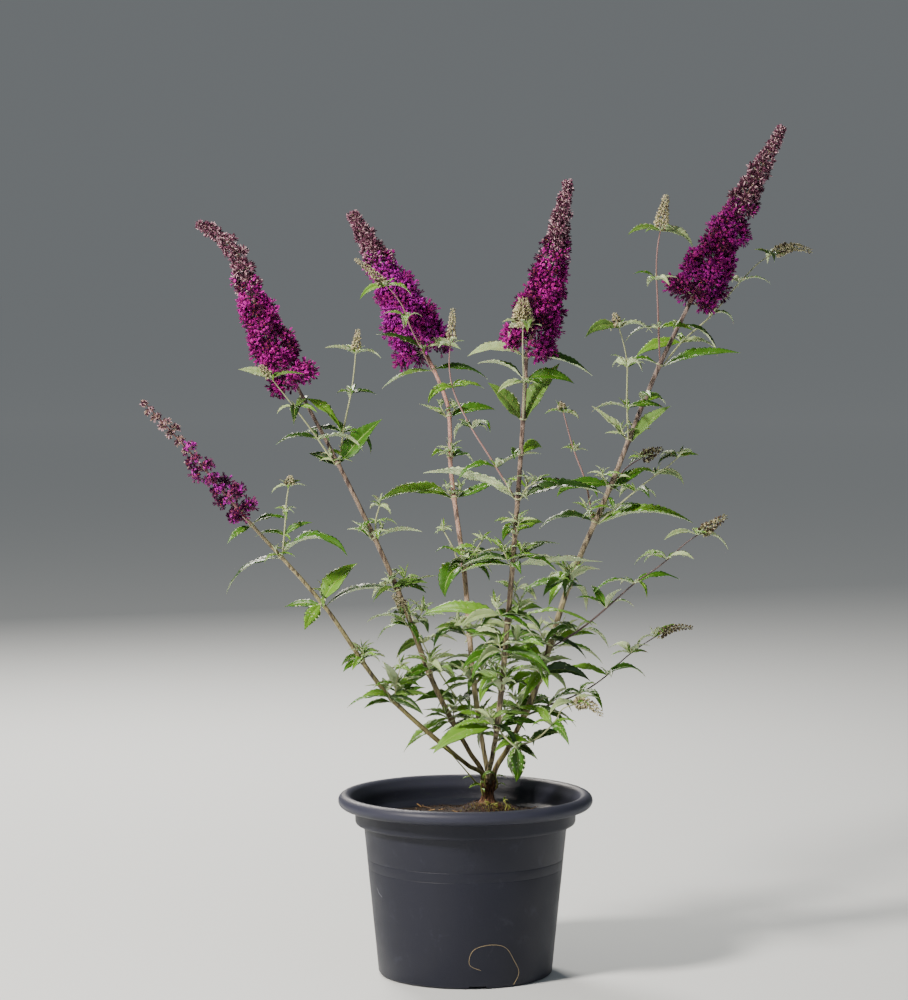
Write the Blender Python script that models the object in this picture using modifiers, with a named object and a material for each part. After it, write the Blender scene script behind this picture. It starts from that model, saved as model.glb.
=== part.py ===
"""A butterfly bush in flower, grown in a round plastic nursery pot.

The pot stands on its flat base at the origin, +Z up, with the front of the plant towards -Y.
Five main stems rise from one short rootstock and end in flower panicles.  Each pair of leaves
grows from a collar round its stem, with its axillary twigs, and is one mass of foliage.
"""
import math
import random
from dataclasses import dataclass, replace

import bmesh
import bpy
from mathutils import Matrix, Vector
from mathutils.bvhtree import BVHTree

# Pot
RIM_OUTER_RADIUS = 0.150
RIM_TUBE_RADIUS = 0.0081
RIM_CENTRE_HEIGHT = 0.205
RIM_POINTS = 9
RIM_START = math.radians(160)
RIM_SWEEP = math.radians(250)
COLLAR_RADIUS = 0.1308
COLLAR_FOOT_HEIGHT = 0.178
BODY_TOP_RADIUS = 0.1197
BODY_FOOT_RADIUS = 0.1022
FOOT_ROUNDING = 0.003
GROOVE_HEIGHTS = (0.1373, 0.1257)
GROOVE_WIDTH = 0.0018
GROOVE_DEPTH = 0.0007
WALL = 0.0028
BASE_THICKNESS = 0.004
POT_STEPS = 32
SLOT_COUNT = 4
SLOT_SIZE = (0.024, 0.021, 0.0035)
SLOT_TURN = math.radians(8.0)

# Compost and rootstock
CLEARANCE = 0.0003
COMPOST_HEIGHT = 0.181
COMPOST_GAP = 0.0009
STUMP_CENTRE = Vector((0.027, 0.035, 0.0))
MOUND_HEIGHT = 0.1955
MOUND_TOP_RADIUS = 0.020
MOUND_SHOULDER_RADIUS = 0.038
MOUND_SHOULDER_HEIGHT = 0.1875
MOUND_STEPS = 20
MOUND_FOOT_RADIUS = 0.070
STUMP_PROFILE = ((0.0125, 0.0), (0.0088, 0.0045), (0.0078, 0.012), (0.0100, 0.021), (0.0106, 0.0262))
STUMP_STEPS = 14
STEM_RING_RADIUS = 0.0068

# Growth
COLLAR_TUBE = 0.0012
STEM_SIDES_RESOLUTION = 1
STEM_SIDES = 6
LEAF_FOLD = 0.13
LEAF_THICKNESS_RATIO = 0.012
SMALL_LEAF = 0.049
BLADE_STATIONS = ((0.34, 1.0), (0.70, 0.62))
SMALL_BLADE_STATIONS = ((0.45, 1.0),)
TWIG_RADIUS = 0.0011
LEAF_CLEARANCE = 0.0006
STEM_STATIONS = 17
STEM_KNEE = 0.004
ROUTE_STEPS = 16
SPIKE_WHORLS = 4
SPIKE_RADIUS = 0.0054
SPIKE_TAPER = 0.72
TUFT_RISE = 58
TUFT_TURN = 38
TUFT_PLACE = 0.85
SHOOT_TAPER = (1.15, 0.55)
FOOT_SHARE = 0.6
TIP_TAPER = 1.6
FOOT_WAIST = 0.85
CLUSTER_RISE = 0.2
CLUSTER_GIRTH = 0.32
CLUSTER_STRETCH = 2.2
PEDUNCLE = 0.006
WAIST_SHARE = 0.62
LOBE_TILT = math.radians(45)
CLUSTERS = 5
FUSE_SOLVER = "MANIFOLD"
TURN_TRIALS = (0, 9, -9, 18, -18, 28, -28, 40, -40)
RISE_TRIALS = (0, -10, 10, -20, 20)


@dataclass(frozen=True)
class Leaf:
    """One leaf: its stalk's heading and rise, its length, its blade's bend, turn to the light, width."""
    heading: float
    length: float
    rise: float = 25.0
    droop: float = 50.0
    facing: float = 26.0
    width: float = 0.27


@dataclass(frozen=True)
class Shoot:
    """A side shoot: its route, its pairs of leaves, and the bud spike at its tip with its sag."""
    route: tuple
    pairs: int
    low_leaf: float
    top_leaf: float
    spike: float = 0.0
    heading: float = 0.0
    rise: float = 30.0
    width: float = 0.27
    sag: float = 0.12


@dataclass(frozen=True)
class Whorl:
    """A leaf node on a stem: its height, its leaves, the size of its tufts and its side shoots."""
    height: float
    leaves: tuple
    tuft: float = 0.020
    shoots: tuple = ()


@dataclass(frozen=True)
class Stem:
    """A main stem: the heading of its foot, its route, its radii and its leaf nodes."""
    name: str
    foot_heading: float
    route: tuple
    foot_radius: float
    tip_radius: float
    whorls: tuple


@dataclass(frozen=True)
class Panicle:
    """A flower panicle: its stem, its axis from base to tip, and its half width at each end."""
    stem: str
    axis: tuple
    base_half_width: float
    tip_half_width: float
    whorls: int


STEMS = (
    Stem("far_left", 215, ((-0.030, -0.015, 0.275), (-0.085, -0.030, 0.327), (-0.166, -0.067, 0.445),
                               (-0.250, -0.100, 0.544)), 0.0029, 0.0019, (
        Whorl(0.327, (Leaf(190, 0.034, 10, 50), Leaf(15, 0.038, 40, 40)), 0.024, (
            Shoot(((-0.085, -0.030, 0.327), (-0.081, -0.035, 0.345), (-0.076, -0.040, 0.366)),
                  2, 0.034, 0.028, 0.0, 30),)),
        Whorl(0.375, (Leaf(-120, 0.040), Leaf(50, 0.045)), 0.018),
        Whorl(0.445, (Leaf(35, 0.062, 58, 30, 55, 0.44), Leaf(170, 0.044, 10, 30, 30),
                      Leaf(230, 0.042, -30, 20, 35, 0.42)), 0.018),
        Whorl(0.501, (Leaf(185, 0.078, 5, 55), Leaf(-10, 0.092, 45, 85)), 0.016, (
            Shoot(((-0.213, -0.086, 0.501), (-0.207, -0.088, 0.537), (-0.205, -0.090, 0.566),
                   (-0.202, -0.090, 0.584)), 3, 0.034, 0.022, 0.012, 15),)),
        Whorl(0.538, (Leaf(205, 0.034, -15, 40, 30, 0.36), Leaf(20, 0.044, 40, 30)), 0.0),
    )),
    Stem("left", 150, ((-0.034, 0.013, 0.333), (-0.081, 0.028, 0.453), (-0.151, 0.048, 0.599),
                           (-0.199, 0.060, 0.688)), 0.0034, 0.0021, (
        Whorl(0.297, (Leaf(188, 0.066, -5, 45, 45, 0.38), Leaf(30, 0.044, 30, 50)), 0.022),
        Whorl(0.353, (Leaf(-130, 0.056, 25, 60), Leaf(50, 0.056, 25, 60)), 0.028),
        Whorl(0.409, (Leaf(-60, 0.052), Leaf(140, 0.056, 30, 50)), 0.026, (
            Shoot(((-0.063, 0.023, 0.410), (-0.068, 0.010, 0.426), (-0.074, 0.000, 0.436)),
                  0, 0.0, 0.0, 0.026),)),
        Whorl(0.450, (Leaf(182, 0.088, 20, 55, 25), Leaf(8, 0.046, 35, 30, 30)), 0.022),
        Whorl(0.511, (Leaf(165, 0.036, 45, 30), Leaf(-5, 0.054, 35, 25), Leaf(-80, 0.042)), 0.018, (
            Shoot(((-0.112, 0.036, 0.511), (-0.106, 0.030, 0.531), (-0.101, 0.025, 0.551)),
                  2, 0.030, 0.024, 0.0, 30),)),
        Whorl(0.599, (Leaf(18, 0.072, 52, 16, 60, 0.38), Leaf(165, 0.036, 35, 20, 40, 0.40)), 0.016, (
            Shoot(((-0.152, 0.048, 0.600), (-0.183, 0.035, 0.641), (-0.214, 0.020, 0.683),
                   (-0.230, 0.012, 0.704)), 3, 0.056, 0.040, 0.020, 10),
            Shoot(((-0.151, 0.048, 0.603), (-0.144, 0.070, 0.643), (-0.135, 0.090, 0.689),
                   (-0.131, 0.100, 0.731)), 3, 0.052, 0.038, 0.030, 10))),
        Whorl(0.673, (Leaf(-8, 0.060, -10, 30), Leaf(95, 0.045, 25, 50), Leaf(-100, 0.044, 10, 40)), 0.0),
    )),
    Stem("back", 95, ((0.011, 0.040, 0.330), (-0.002, 0.096, 0.470), (-0.018, 0.146, 0.590),
                          (-0.022, 0.176, 0.662), (-0.046, 0.200, 0.719)), 0.0035, 0.0021, (
        Whorl(0.288, (Leaf(40, 0.062, 20, 60), Leaf(165, 0.044, 20, 50)), 0.024, (
            Shoot(((0.016, 0.030, 0.288), (-0.020, 0.070, 0.330), (-0.050, 0.110, 0.375),
                   (-0.068, 0.140, 0.415)), 4, 0.068, 0.040, 0.0, 40),)),
        Whorl(0.338, (Leaf(5, 0.046, 55, 30), Leaf(185, 0.044, -5, 40)), 0.022, (
            Shoot(((0.011, 0.043, 0.338), (0.034, 0.090, 0.368), (0.050, 0.130, 0.400),
                   (0.062, 0.160, 0.440)), 4, 0.070, 0.044, 0.0, 40),)),
        Whorl(0.393, (Leaf(-40, 0.062, 20, 60, -30, 0.34), Leaf(140, 0.058, 20, 60)), 0.026),
        Whorl(0.470, (Leaf(-125, 0.064, 8, 110, 0, 0.44), Leaf(-8, 0.064, 30, 40)), 0.024, (
            Shoot(((-0.002, 0.096, 0.472), (-0.015, 0.100, 0.494), (-0.027, 0.105, 0.515)),
                  2, 0.030, 0.024, 0.0, 30),
            Shoot(((-0.001, 0.096, 0.472), (0.011, 0.090, 0.490), (0.021, 0.085, 0.505)),
                  2, 0.030, 0.024, 0.0, 40),)),
        Whorl(0.552, (Leaf(178, 0.096, 35, 70), Leaf(5, 0.058, 28, 25), Leaf(95, 0.050)), 0.020),
        Whorl(0.600, (Leaf(60, 0.056, 30, 60), Leaf(-120, 0.046, 30, 50)), 0.016),
        Whorl(0.648, (Leaf(170, 0.036, 35, 20), Leaf(5, 0.058, 32, 42, 40, 0.36)), 0.018),
        Whorl(0.704, (Leaf(182, 0.066, 12, 50), Leaf(0, 0.068, 20, 45), Leaf(100, 0.040)), 0.0, (
            Shoot(((-0.038, 0.190, 0.704), (-0.052, 0.168, 0.728), (-0.066, 0.145, 0.756),
                   (-0.079, 0.135, 0.789), (-0.098, 0.128, 0.810)), 3, 0.050, 0.024, 0.044, 5),)),
    )),
    Stem("front", -85, ((0.037, -0.016, 0.292), (0.049, -0.049, 0.421), (0.060, -0.090, 0.568),
                            (0.066, -0.120, 0.670), (0.069, -0.140, 0.737)), 0.0036, 0.0022, (
        Whorl(0.292, (Leaf(197, 0.082, 10, 50, 45, 0.36), Leaf(20, 0.050, 30, 60, 40, 0.34)), 0.026, (
            Shoot(((0.036, -0.015, 0.290), (0.046, -0.034, 0.284), (0.060, -0.046, 0.272)),
                  1, 0.046, 0.046, 0.0, -60, -45, 0.42),)),
        Whorl(0.341, (Leaf(-110, 0.058, 25, 60), Leaf(75, 0.052, 25, 60)), 0.032),
        Whorl(0.381, (Leaf(-20, 0.056, 30, 60), Leaf(205, 0.056, 20, 60, 45, 0.36)), 0.030),
        Whorl(0.421, (Leaf(176, 0.100, 30, 45, 20), Leaf(-3, 0.102, 35, 75, 20)), 0.030),
        Whorl(0.489, (Leaf(2, 0.100, 15, 20, -32, 0.24), Leaf(190, 0.058, 8, 30, 30), Leaf(-85, 0.050)),
              0.026),
        Whorl(0.528, (Leaf(-110, 0.048, 35, 60), Leaf(55, 0.052, 40, 60, 30, 0.40)), 0.020),
        Whorl(0.568, (Leaf(168, 0.115, 38, 40, -30, 0.22), Leaf(-4, 0.104, 32, 50, 25)), 0.022, (
            Shoot(((0.058, -0.090, 0.566), (0.030, -0.075, 0.611), (-0.003, -0.055, 0.665),
                   (-0.018, -0.045, 0.704), (-0.017, -0.040, 0.748)), 4, 0.056, 0.030, 0.036, 20),
            Shoot(((0.061, -0.090, 0.569), (0.070, -0.100, 0.580), (0.082, -0.115, 0.590)),
                  1, 0.030, 0.030, 0.0, 0),)),
        Whorl(0.620, (Leaf(-110, 0.048, 35, 60), Leaf(60, 0.052, 35, 60)), 0.0),
        Whorl(0.661, (Leaf(-5, 0.074, 70, 14, 50, 0.40), Leaf(195, 0.056, 66, 15, 60, 0.42)), 0.0, (
            Shoot(((0.065, -0.117, 0.661), (0.066, -0.151, 0.700), (0.064, -0.178, 0.738),
                   (0.064, -0.186, 0.769)), 2, 0.036, 0.052, 0.026, 0),)),
        Whorl(0.708, (Leaf(180, 0.056, 48, 50), Leaf(0, 0.054, 20, 50, 35, 0.34)), 0.0),
        Whorl(0.732, (Leaf(-3, 0.076, 6, 35), Leaf(176, 0.068, 42, 30)), 0.0),
    )),
    Stem("right", 0, ((0.082, 0.012, 0.333), (0.123, 0.027, 0.459), (0.171, 0.042, 0.571),
                          (0.230, 0.060, 0.715), (0.266, 0.070, 0.788)), 0.0038, 0.0024, (
        Whorl(0.268, (Leaf(-60, 0.050, 10, 50), Leaf(120, 0.044, 20, 50)), 0.018, (
            Shoot(((0.055, 0.012, 0.268), (0.082, -0.020, 0.279), (0.105, -0.050, 0.306),
                   (0.116, -0.065, 0.324), (0.128, -0.071, 0.328)), 3, 0.050, 0.044, 0.036, 35, sag=0.70),)),
        Whorl(0.305, (Leaf(180, 0.056, 35, 60), Leaf(-5, 0.064, 20, 60)), 0.024, (
            Shoot(((0.072, 0.013, 0.305), (0.100, 0.040, 0.312), (0.134, 0.060, 0.322),
                   (0.168, 0.080, 0.341), (0.192, 0.100, 0.361), (0.222, 0.118, 0.380),
                   (0.234, 0.126, 0.386)), 5, 0.066, 0.030, 0.048, 30, sag=0.45),)),
        Whorl(0.345, (Leaf(-120, 0.062, 30, 60, 0, 0.34), Leaf(60, 0.060, 25, 60)), 0.032),
        Whorl(0.386, (Leaf(175, 0.064, 40, 60), Leaf(0, 0.066, 10, 60)), 0.032, (
            Shoot(((0.099, 0.018, 0.386), (0.137, -0.020, 0.411), (0.170, -0.050, 0.443),
                   (0.197, -0.080, 0.471), (0.224, -0.100, 0.492), (0.256, -0.120, 0.523),
                   (0.270, -0.128, 0.533)), 5, 0.060, 0.036, 0.036, 30),)),
        Whorl(0.455, (Leaf(-115, 0.068, 30, 60), Leaf(65, 0.066, 25, 60), Leaf(175, 0.054, 30, 60)), 0.028),
        Whorl(0.530, (Leaf(0, 0.116, 30, 55, 25), Leaf(182, 0.068, 30, 60)), 0.022, (
            Shoot(((0.155, 0.037, 0.535), (0.188, 0.020, 0.558), (0.217, 0.000, 0.584),
                   (0.236, -0.010, 0.599), (0.250, -0.014, 0.612)), 4, 0.054, 0.032, 0.0, 30),
            Shoot(((0.153, 0.037, 0.530), (0.142, 0.060, 0.578), (0.128, 0.080, 0.616),
                   (0.121, 0.090, 0.642), (0.116, 0.098, 0.660)), 3, 0.050, 0.026, 0.012, 20),)),
        Whorl(0.571, (Leaf(185, 0.062, 22, 40), Leaf(-3, 0.056, 32, 25)), 0.020, (
            Shoot(((0.171, 0.042, 0.571), (0.190, 0.060, 0.592), (0.212, 0.072, 0.605)),
                  1, 0.034, 0.034, 0.032, 60),)),
        Whorl(0.627, (Leaf(172, 0.058, 52, 12, 30), Leaf(-5, 0.066, 50, 12, 50, 0.38)), 0.018, (
            Shoot(((0.191, 0.049, 0.629), (0.190, 0.030, 0.675), (0.188, 0.010, 0.729),
                   (0.178, 0.000, 0.764)), 3, 0.044, 0.054, 0.018, 15),)),
        Whorl(0.672, (Leaf(-115, 0.056, 30, 60), Leaf(60, 0.056, 30, 60)), 0.0),
        Whorl(0.715, (Leaf(-5, 0.094, 25, 35, 25), Leaf(178, 0.050, 30, 50)), 0.0, (
            Shoot(((0.230, 0.060, 0.717), (0.226, 0.030, 0.783), (0.224, 0.012, 0.851),
                   (0.228, 0.009, 0.878)), 3, 0.044, 0.036, 0.044, 5),
            Shoot(((0.233, 0.062, 0.718), (0.260, 0.085, 0.744), (0.288, 0.100, 0.767),
                   (0.331, 0.120, 0.814), (0.356, 0.127, 0.838), (0.372, 0.130, 0.847)),
                  4, 0.056, 0.036, 0.054, 10, sag=0.50),)),
        Whorl(0.764, (Leaf(-8, 0.060, 5, 60), Leaf(95, 0.040, 20, 50), Leaf(-110, 0.040, 10, 50)), 0.0),
    )),
)

PANICLES = (
    Panicle("far_left", ((-0.252, -0.100, 0.547), (-0.312, -0.112, 0.620), (-0.367, -0.122, 0.682)),
            0.028, 0.007, 10),
    Panicle("left", ((-0.199, 0.060, 0.688), (-0.238, 0.065, 0.756), (-0.285, 0.071, 0.863),
                     (-0.317, 0.073, 0.883)), 0.035, 0.008, 12),
    Panicle("back", ((-0.046, 0.200, 0.719), (-0.087, 0.222, 0.801), (-0.140, 0.244, 0.895)),
            0.039, 0.008, 11),
    Panicle("front", ((0.070, -0.140, 0.741), (0.084, -0.148, 0.785), (0.098, -0.155, 0.841),
                      (0.114, -0.171, 0.929)), 0.035, 0.007, 12),
    Panicle("right", ((0.268, 0.070, 0.792), (0.304, 0.076, 0.857), (0.331, 0.079, 0.910),
                      (0.376, 0.085, 0.996)), 0.035, 0.007, 12),
)

COLOURS = {
    "pot": ((0.035, 0.037, 0.048), 0.45),
    "compost": ((0.045, 0.028, 0.018), 0.95),
    "bark": ((0.140, 0.085, 0.045), 0.80),
    "stem": ((0.210, 0.150, 0.080), 0.65),
    "foliage": ((0.075, 0.190, 0.030), 0.55),
    "bloom": ((0.250, 0.006, 0.200), 0.60),
}


def material(kind):
    """Return the material of one kind of piece."""
    made = bpy.data.materials.get(kind)
    if made is None:
        colour, roughness = COLOURS[kind]
        made = bpy.data.materials.new(kind)
        made.use_nodes = True
        shader = made.node_tree.nodes["Principled BSDF"]
        shader.inputs["Base Color"].default_value = (*colour, 1.0)
        shader.inputs["Roughness"].default_value = roughness
        shader.inputs["Metallic"].default_value = 0.0
    return made


def new_collection(name):
    """Return a new collection linked to the scene."""
    made = bpy.data.collections.new(name)
    bpy.context.scene.collection.children.link(made)
    return made


def add_mesh(name, mesh, collection, kind):
    """Link a mesh as an object with the material of its kind."""
    made = bpy.data.objects.new(name, mesh)
    mesh.materials.clear()
    mesh.materials.append(material(kind))
    collection.objects.link(made)
    return made


def finished_mesh(source):
    """Return a welded mesh of an object as its modifiers leave it."""
    depsgraph = bpy.context.evaluated_depsgraph_get()
    mesh = bpy.data.meshes.new_from_object(source.evaluated_get(depsgraph))
    work = bmesh.new()
    work.from_mesh(mesh)
    bmesh.ops.remove_doubles(work, verts=work.verts, dist=1e-6)
    work.to_mesh(mesh)
    work.free()
    return mesh


def bake(source):
    """Replace an object by the finished mesh of itself."""
    mesh = finished_mesh(source)
    mesh.transform(source.matrix_world)
    name = source.name
    kind = source.data.materials[0].name
    collection = source.users_collection[0]
    bpy.data.objects.remove(source)
    return add_mesh(name, mesh, collection, kind)


def turned(name, profile, steps, centre, collection, kind):
    """Turn a profile of (radius, height) points, run top to bottom on its outer side."""
    mesh = bpy.data.meshes.new(name)
    points = [(radius, 0.0, height) for radius, height in profile]
    edges = [(index, index + 1) for index in range(len(points) - 1)]
    if points[0][0] > 0.0 or points[-1][0] > 0.0:
        edges.append((len(points) - 1, 0))
    mesh.from_pydata(points, edges, [])
    made = add_mesh(name, mesh, collection, kind)
    made.location = centre
    screw = made.modifiers.new("turn", "SCREW")
    screw.steps = steps
    screw.render_steps = steps
    screw.use_merge_vertices = True
    screw.merge_threshold = 1e-5
    screw.use_normal_calculate = False
    bpy.context.view_layer.update()
    return bake(made)


def smooth_route(points, count):
    """Return evenly spread points on the smooth curve through a route."""
    nodes = [Vector(point) for point in points]
    gaps = [(after - before).length for before, after in zip(nodes, nodes[1:])]
    slopes = [(after - before) / gap for before, after, gap in zip(nodes, nodes[1:], gaps)]
    tangents = [slopes[0]]
    for index in range(1, len(gaps)):
        before, after = gaps[index - 1], gaps[index]
        tangents.append((slopes[index] * before + slopes[index - 1] * after) / (before + after))
    tangents.append(slopes[-1])
    fine = []
    for index, gap in enumerate(gaps):
        start, end = nodes[index], nodes[index + 1]
        for step in range(ROUTE_STEPS):
            t = step / ROUTE_STEPS
            fine.append(start * (2 * t ** 3 - 3 * t ** 2 + 1) + end * (3 * t ** 2 - 2 * t ** 3)
                        + tangents[index] * gap * (t ** 3 - 2 * t ** 2 + t)
                        + tangents[index + 1] * gap * (t ** 3 - t ** 2))
    fine.append(nodes[-1])
    lengths = [0.0]
    for first, second in zip(fine, fine[1:]):
        lengths.append(lengths[-1] + (second - first).length)
    spread = []
    cursor = 0
    for index in range(count):
        target = lengths[-1] * index / (count - 1)
        while cursor < len(fine) - 2 and lengths[cursor + 1] < target:
            cursor += 1
        share = (target - lengths[cursor]) / max(lengths[cursor + 1] - lengths[cursor], 1e-9)
        spread.append(fine[cursor].lerp(fine[cursor + 1], min(share, 1.0)))
    return spread


def limb_curve(name, points, radii, collection, kind, section=None, tilts=None):
    """Make a tapering limb as a curve with filled ends, round or on a three-sided section."""
    curve = bpy.data.curves.new(name, "CURVE")
    curve.dimensions = "3D"
    curve.use_fill_caps = True
    if section is None:
        curve.bevel_depth = 1.0
        curve.bevel_resolution = STEM_SIDES_RESOLUTION
    else:
        curve.bevel_mode = "OBJECT"
        curve.bevel_object = section
    spline = curve.splines.new("POLY")
    spline.points.add(len(points) - 1)
    for place, point, radius in zip(spline.points, points, radii):
        place.co = (*point, 1.0)
        place.radius = radius
    for place, tilt in zip(spline.points, tilts or []):
        place.tilt = tilt
    curve.materials.append(material(kind))
    made = bpy.data.objects.new(name, curve)
    collection.objects.link(made)
    return made


def heading_vector(heading, rise):
    """Return the direction with a compass heading and a rise, both in degrees."""
    flat = math.radians(heading)
    up = math.radians(rise)
    return Vector((math.cos(flat) * math.cos(up), math.sin(flat) * math.cos(up), math.sin(up)))


def leaf_solid(root, leaf):
    """Return the points and faces of one folded, arching leaf as a closed thin solid."""
    across = Vector((-math.sin(math.radians(leaf.heading)), math.cos(math.radians(leaf.heading)), 0.0))
    half_width = leaf.length * leaf.width / 2
    lean = math.radians(leaf.facing * math.cos(math.radians(leaf.heading)))
    thickness = leaf.length * LEAF_THICKNESS_RATIO
    stations = BLADE_STATIONS if leaf.length > SMALL_LEAF else SMALL_BLADE_STATIONS
    points = [root.copy()]
    place = root.copy()
    travelled = 0.0
    for share, width in stations:
        while travelled < share:
            step = min(0.1, share - travelled)
            bend = leaf.rise - leaf.droop * (travelled + step / 2)
            place = place + heading_vector(leaf.heading, bend) * leaf.length * step
            travelled += step
        along = heading_vector(leaf.heading, leaf.rise - leaf.droop * share)
        up = along.cross(across).normalized()
        over = across * math.cos(lean) + up * math.sin(lean)
        crown = up * math.cos(lean) - across * math.sin(lean)
        side = half_width * width
        lift = crown * side * LEAF_FOLD * 2
        points += [place + over * side + lift, place - over * side + lift, place - crown * thickness]
    while travelled < 1.0:
        step = min(0.1, 1.0 - travelled)
        bend = leaf.rise - leaf.droop * (travelled + step / 2)
        place = place + heading_vector(leaf.heading, bend) * leaf.length * step
        travelled += step
    points.append(place)
    tip = len(points) - 1
    last = tip - 3
    faces = []
    for corner in range(3):
        following = (corner + 1) % 3
        faces.append((1 + following, 1 + corner, 0))
        faces += [(low + corner, low + following, low + 3 + following, low + 3 + corner)
                  for low in range(1, last, 3)]
        faces.append((last + corner, last + following, tip))
    return points, faces


class Space:
    """What is already placed: limbs, and the leaves and twigs of each mass."""

    def __init__(self):
        """Start with nothing placed."""
        self.items = []

    def add(self, owner, points, faces):
        """Note one solid and the mass that owns it."""
        low = Vector([min(point[axis] for point in points) for axis in range(3)])
        high = Vector([max(point[axis] for point in points) for axis in range(3)])
        self.items.append((owner, low, high, BVHTree.FromPolygons(points, faces)))

    def is_clear(self, owner, points, faces, margin=LEAF_CLEARANCE):
        """Tell whether a solid stays clear of every limb and of every other mass."""
        low = Vector([min(point[axis] for point in points) - margin for axis in range(3)])
        high = Vector([max(point[axis] for point in points) + margin for axis in range(3)])
        tree = BVHTree.FromPolygons(points, faces)
        probes = list(points)
        for face in faces:
            for first, second in zip(face, face[1:] + face[:1]):
                probes += [points[first].lerp(points[second], share) for share in (0.25, 0.5, 0.75)]
        for other, other_low, other_high, other_tree in self.items:
            if other == owner or any(low[axis] > other_high[axis] or high[axis] < other_low[axis]
                                     for axis in range(3)):
                continue
            if tree.overlap(other_tree):
                return False
            if any(other_tree.find_nearest(probe, margin)[0] is not None for probe in probes):
                return False
        return True


def twig_prism(points, radii):
    """Return the points and faces of a three-sided twig, for tests of clearance."""
    corners = []
    for index, (point, radius) in enumerate(zip(points, radii)):
        along = (points[min(index + 1, len(points) - 1)] - points[max(index - 1, 0)]).normalized()
        side = along.orthogonal().normalized()
        corners += [point + Matrix.Rotation(math.radians(turn), 3, along) @ side * radius
                    for turn in (0, 120, 240)]
    faces = []
    for ring in range(len(points) - 1):
        for corner in range(3):
            following = (corner + 1) % 3
            faces.append((ring * 3 + corner, ring * 3 + following,
                          ring * 3 + 3 + following, ring * 3 + 3 + corner))
    return corners, faces


class Mass:
    """One mass of foliage, gathered as loose solids that one Boolean union then joins."""

    def __init__(self, name, space, twig_section, kind="foliage"):
        """Start an empty mass with a collection for its loose solids."""
        self.name = name
        self.space = space
        self.section = twig_section
        self.kind = kind
        self.loose = new_collection(name + "_loose")
        self.count = 0
        self.base = None

    def next_name(self):
        """Return a fresh name for a loose solid."""
        self.count += 1
        return f"{self.name}_piece_{self.count}"

    def add_solid(self, points, faces):
        """Add a closed solid from its points and faces."""
        mesh = bpy.data.meshes.new(self.name)
        mesh.from_pydata([tuple(point) for point in points], [], faces)
        add_mesh(self.next_name(), mesh, self.loose, self.kind)

    def add_collar(self, centre, along, stem_radius):
        """Add the ridge that rings a stem at a leaf node, clear of the stem, as the mass's base."""
        inner = (stem_radius + CLEARANCE + 0.0001) / math.cos(math.pi / STEM_SIDES)
        ring = inner + COLLAR_TUBE / 2
        turn = along.to_track_quat("Z", "Y").to_euler()
        bpy.ops.mesh.primitive_torus_add(location=centre, rotation=turn, major_segments=STEM_SIDES,
                                         minor_segments=3, major_radius=ring,
                                         minor_radius=COLLAR_TUBE)
        collar = bpy.context.object
        mesh = collar.data
        mesh.transform(collar.matrix_world)
        bpy.data.objects.remove(collar)
        self.base = add_mesh(self.name, mesh, self.loose, self.kind)
        return ring

    def add_leaf(self, root, leaf):
        """Add a leaf, turned a little where it would touch something, or leave it out."""
        for rise in RISE_TRIALS:
            for turn in TURN_TRIALS:
                trial = replace(leaf, heading=leaf.heading + turn, rise=leaf.rise + rise)
                points, faces = leaf_solid(root, trial)
                if self.space.is_clear(self.name, points, faces):
                    self.space.add(self.name, points, faces)
                    self.add_solid(points, faces)
                    return

    def add_twig(self, points, radii):
        """Add a three-sided twig if it stays clear, and tell whether it was added."""
        corners, faces = twig_prism(points, radii)
        if not self.space.is_clear(self.name, corners, faces, CLEARANCE):
            return False
        self.space.add(self.name, corners, faces)
        limb_curve(self.next_name(), points, radii, self.loose, self.kind, self.section)
        return True


def grow_tuft(mass, root, heading, size, rng):
    """Grow a short axillary twig with a pair of small leaves at its tip."""
    lean = heading_vector(heading, TUFT_RISE)
    length = size * rng.uniform(0.55, 0.85)
    points = [root, root + lean * length]
    if not mass.add_twig(points, [COLLAR_TUBE * FOOT_SHARE, TWIG_RADIUS * FOOT_SHARE]):
        return
    place = points[0].lerp(points[1], TUFT_PLACE)
    start = heading + 90 + rng.uniform(-30, 30)
    for side in (0, 180):
        mass.add_leaf(place, Leaf(start + side, size * rng.uniform(1.0, 1.3),
                                  rng.uniform(35, 60), rng.uniform(25, 55)))


def grow_spike(mass, root, along, shoot):
    """Grow a bud spike: a slim core with crowded whorls of buds, sagging under its weight."""
    points = []
    radii = []
    for index in range(SPIKE_WHORLS * 2 + 1):
        share = index / (SPIKE_WHORLS * 2)
        drop = Vector((0.0, 0.0, -shoot.sag * shoot.spike * share ** 2))
        points.append(root + along * shoot.spike * share + drop)
        swell = SPIKE_RADIUS * (1 - share * SPIKE_TAPER)
        radii.append(swell if index % 2 else swell * WAIST_SHARE)
    radii[0] = TWIG_RADIUS
    corners, faces = twig_prism(points, radii)
    if mass.space.is_clear(mass.name, corners, faces):
        mass.space.add(mass.name, corners, faces)
        limb_curve(mass.next_name(), points, radii, mass.loose, mass.kind, BUD_SECTION)


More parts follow.
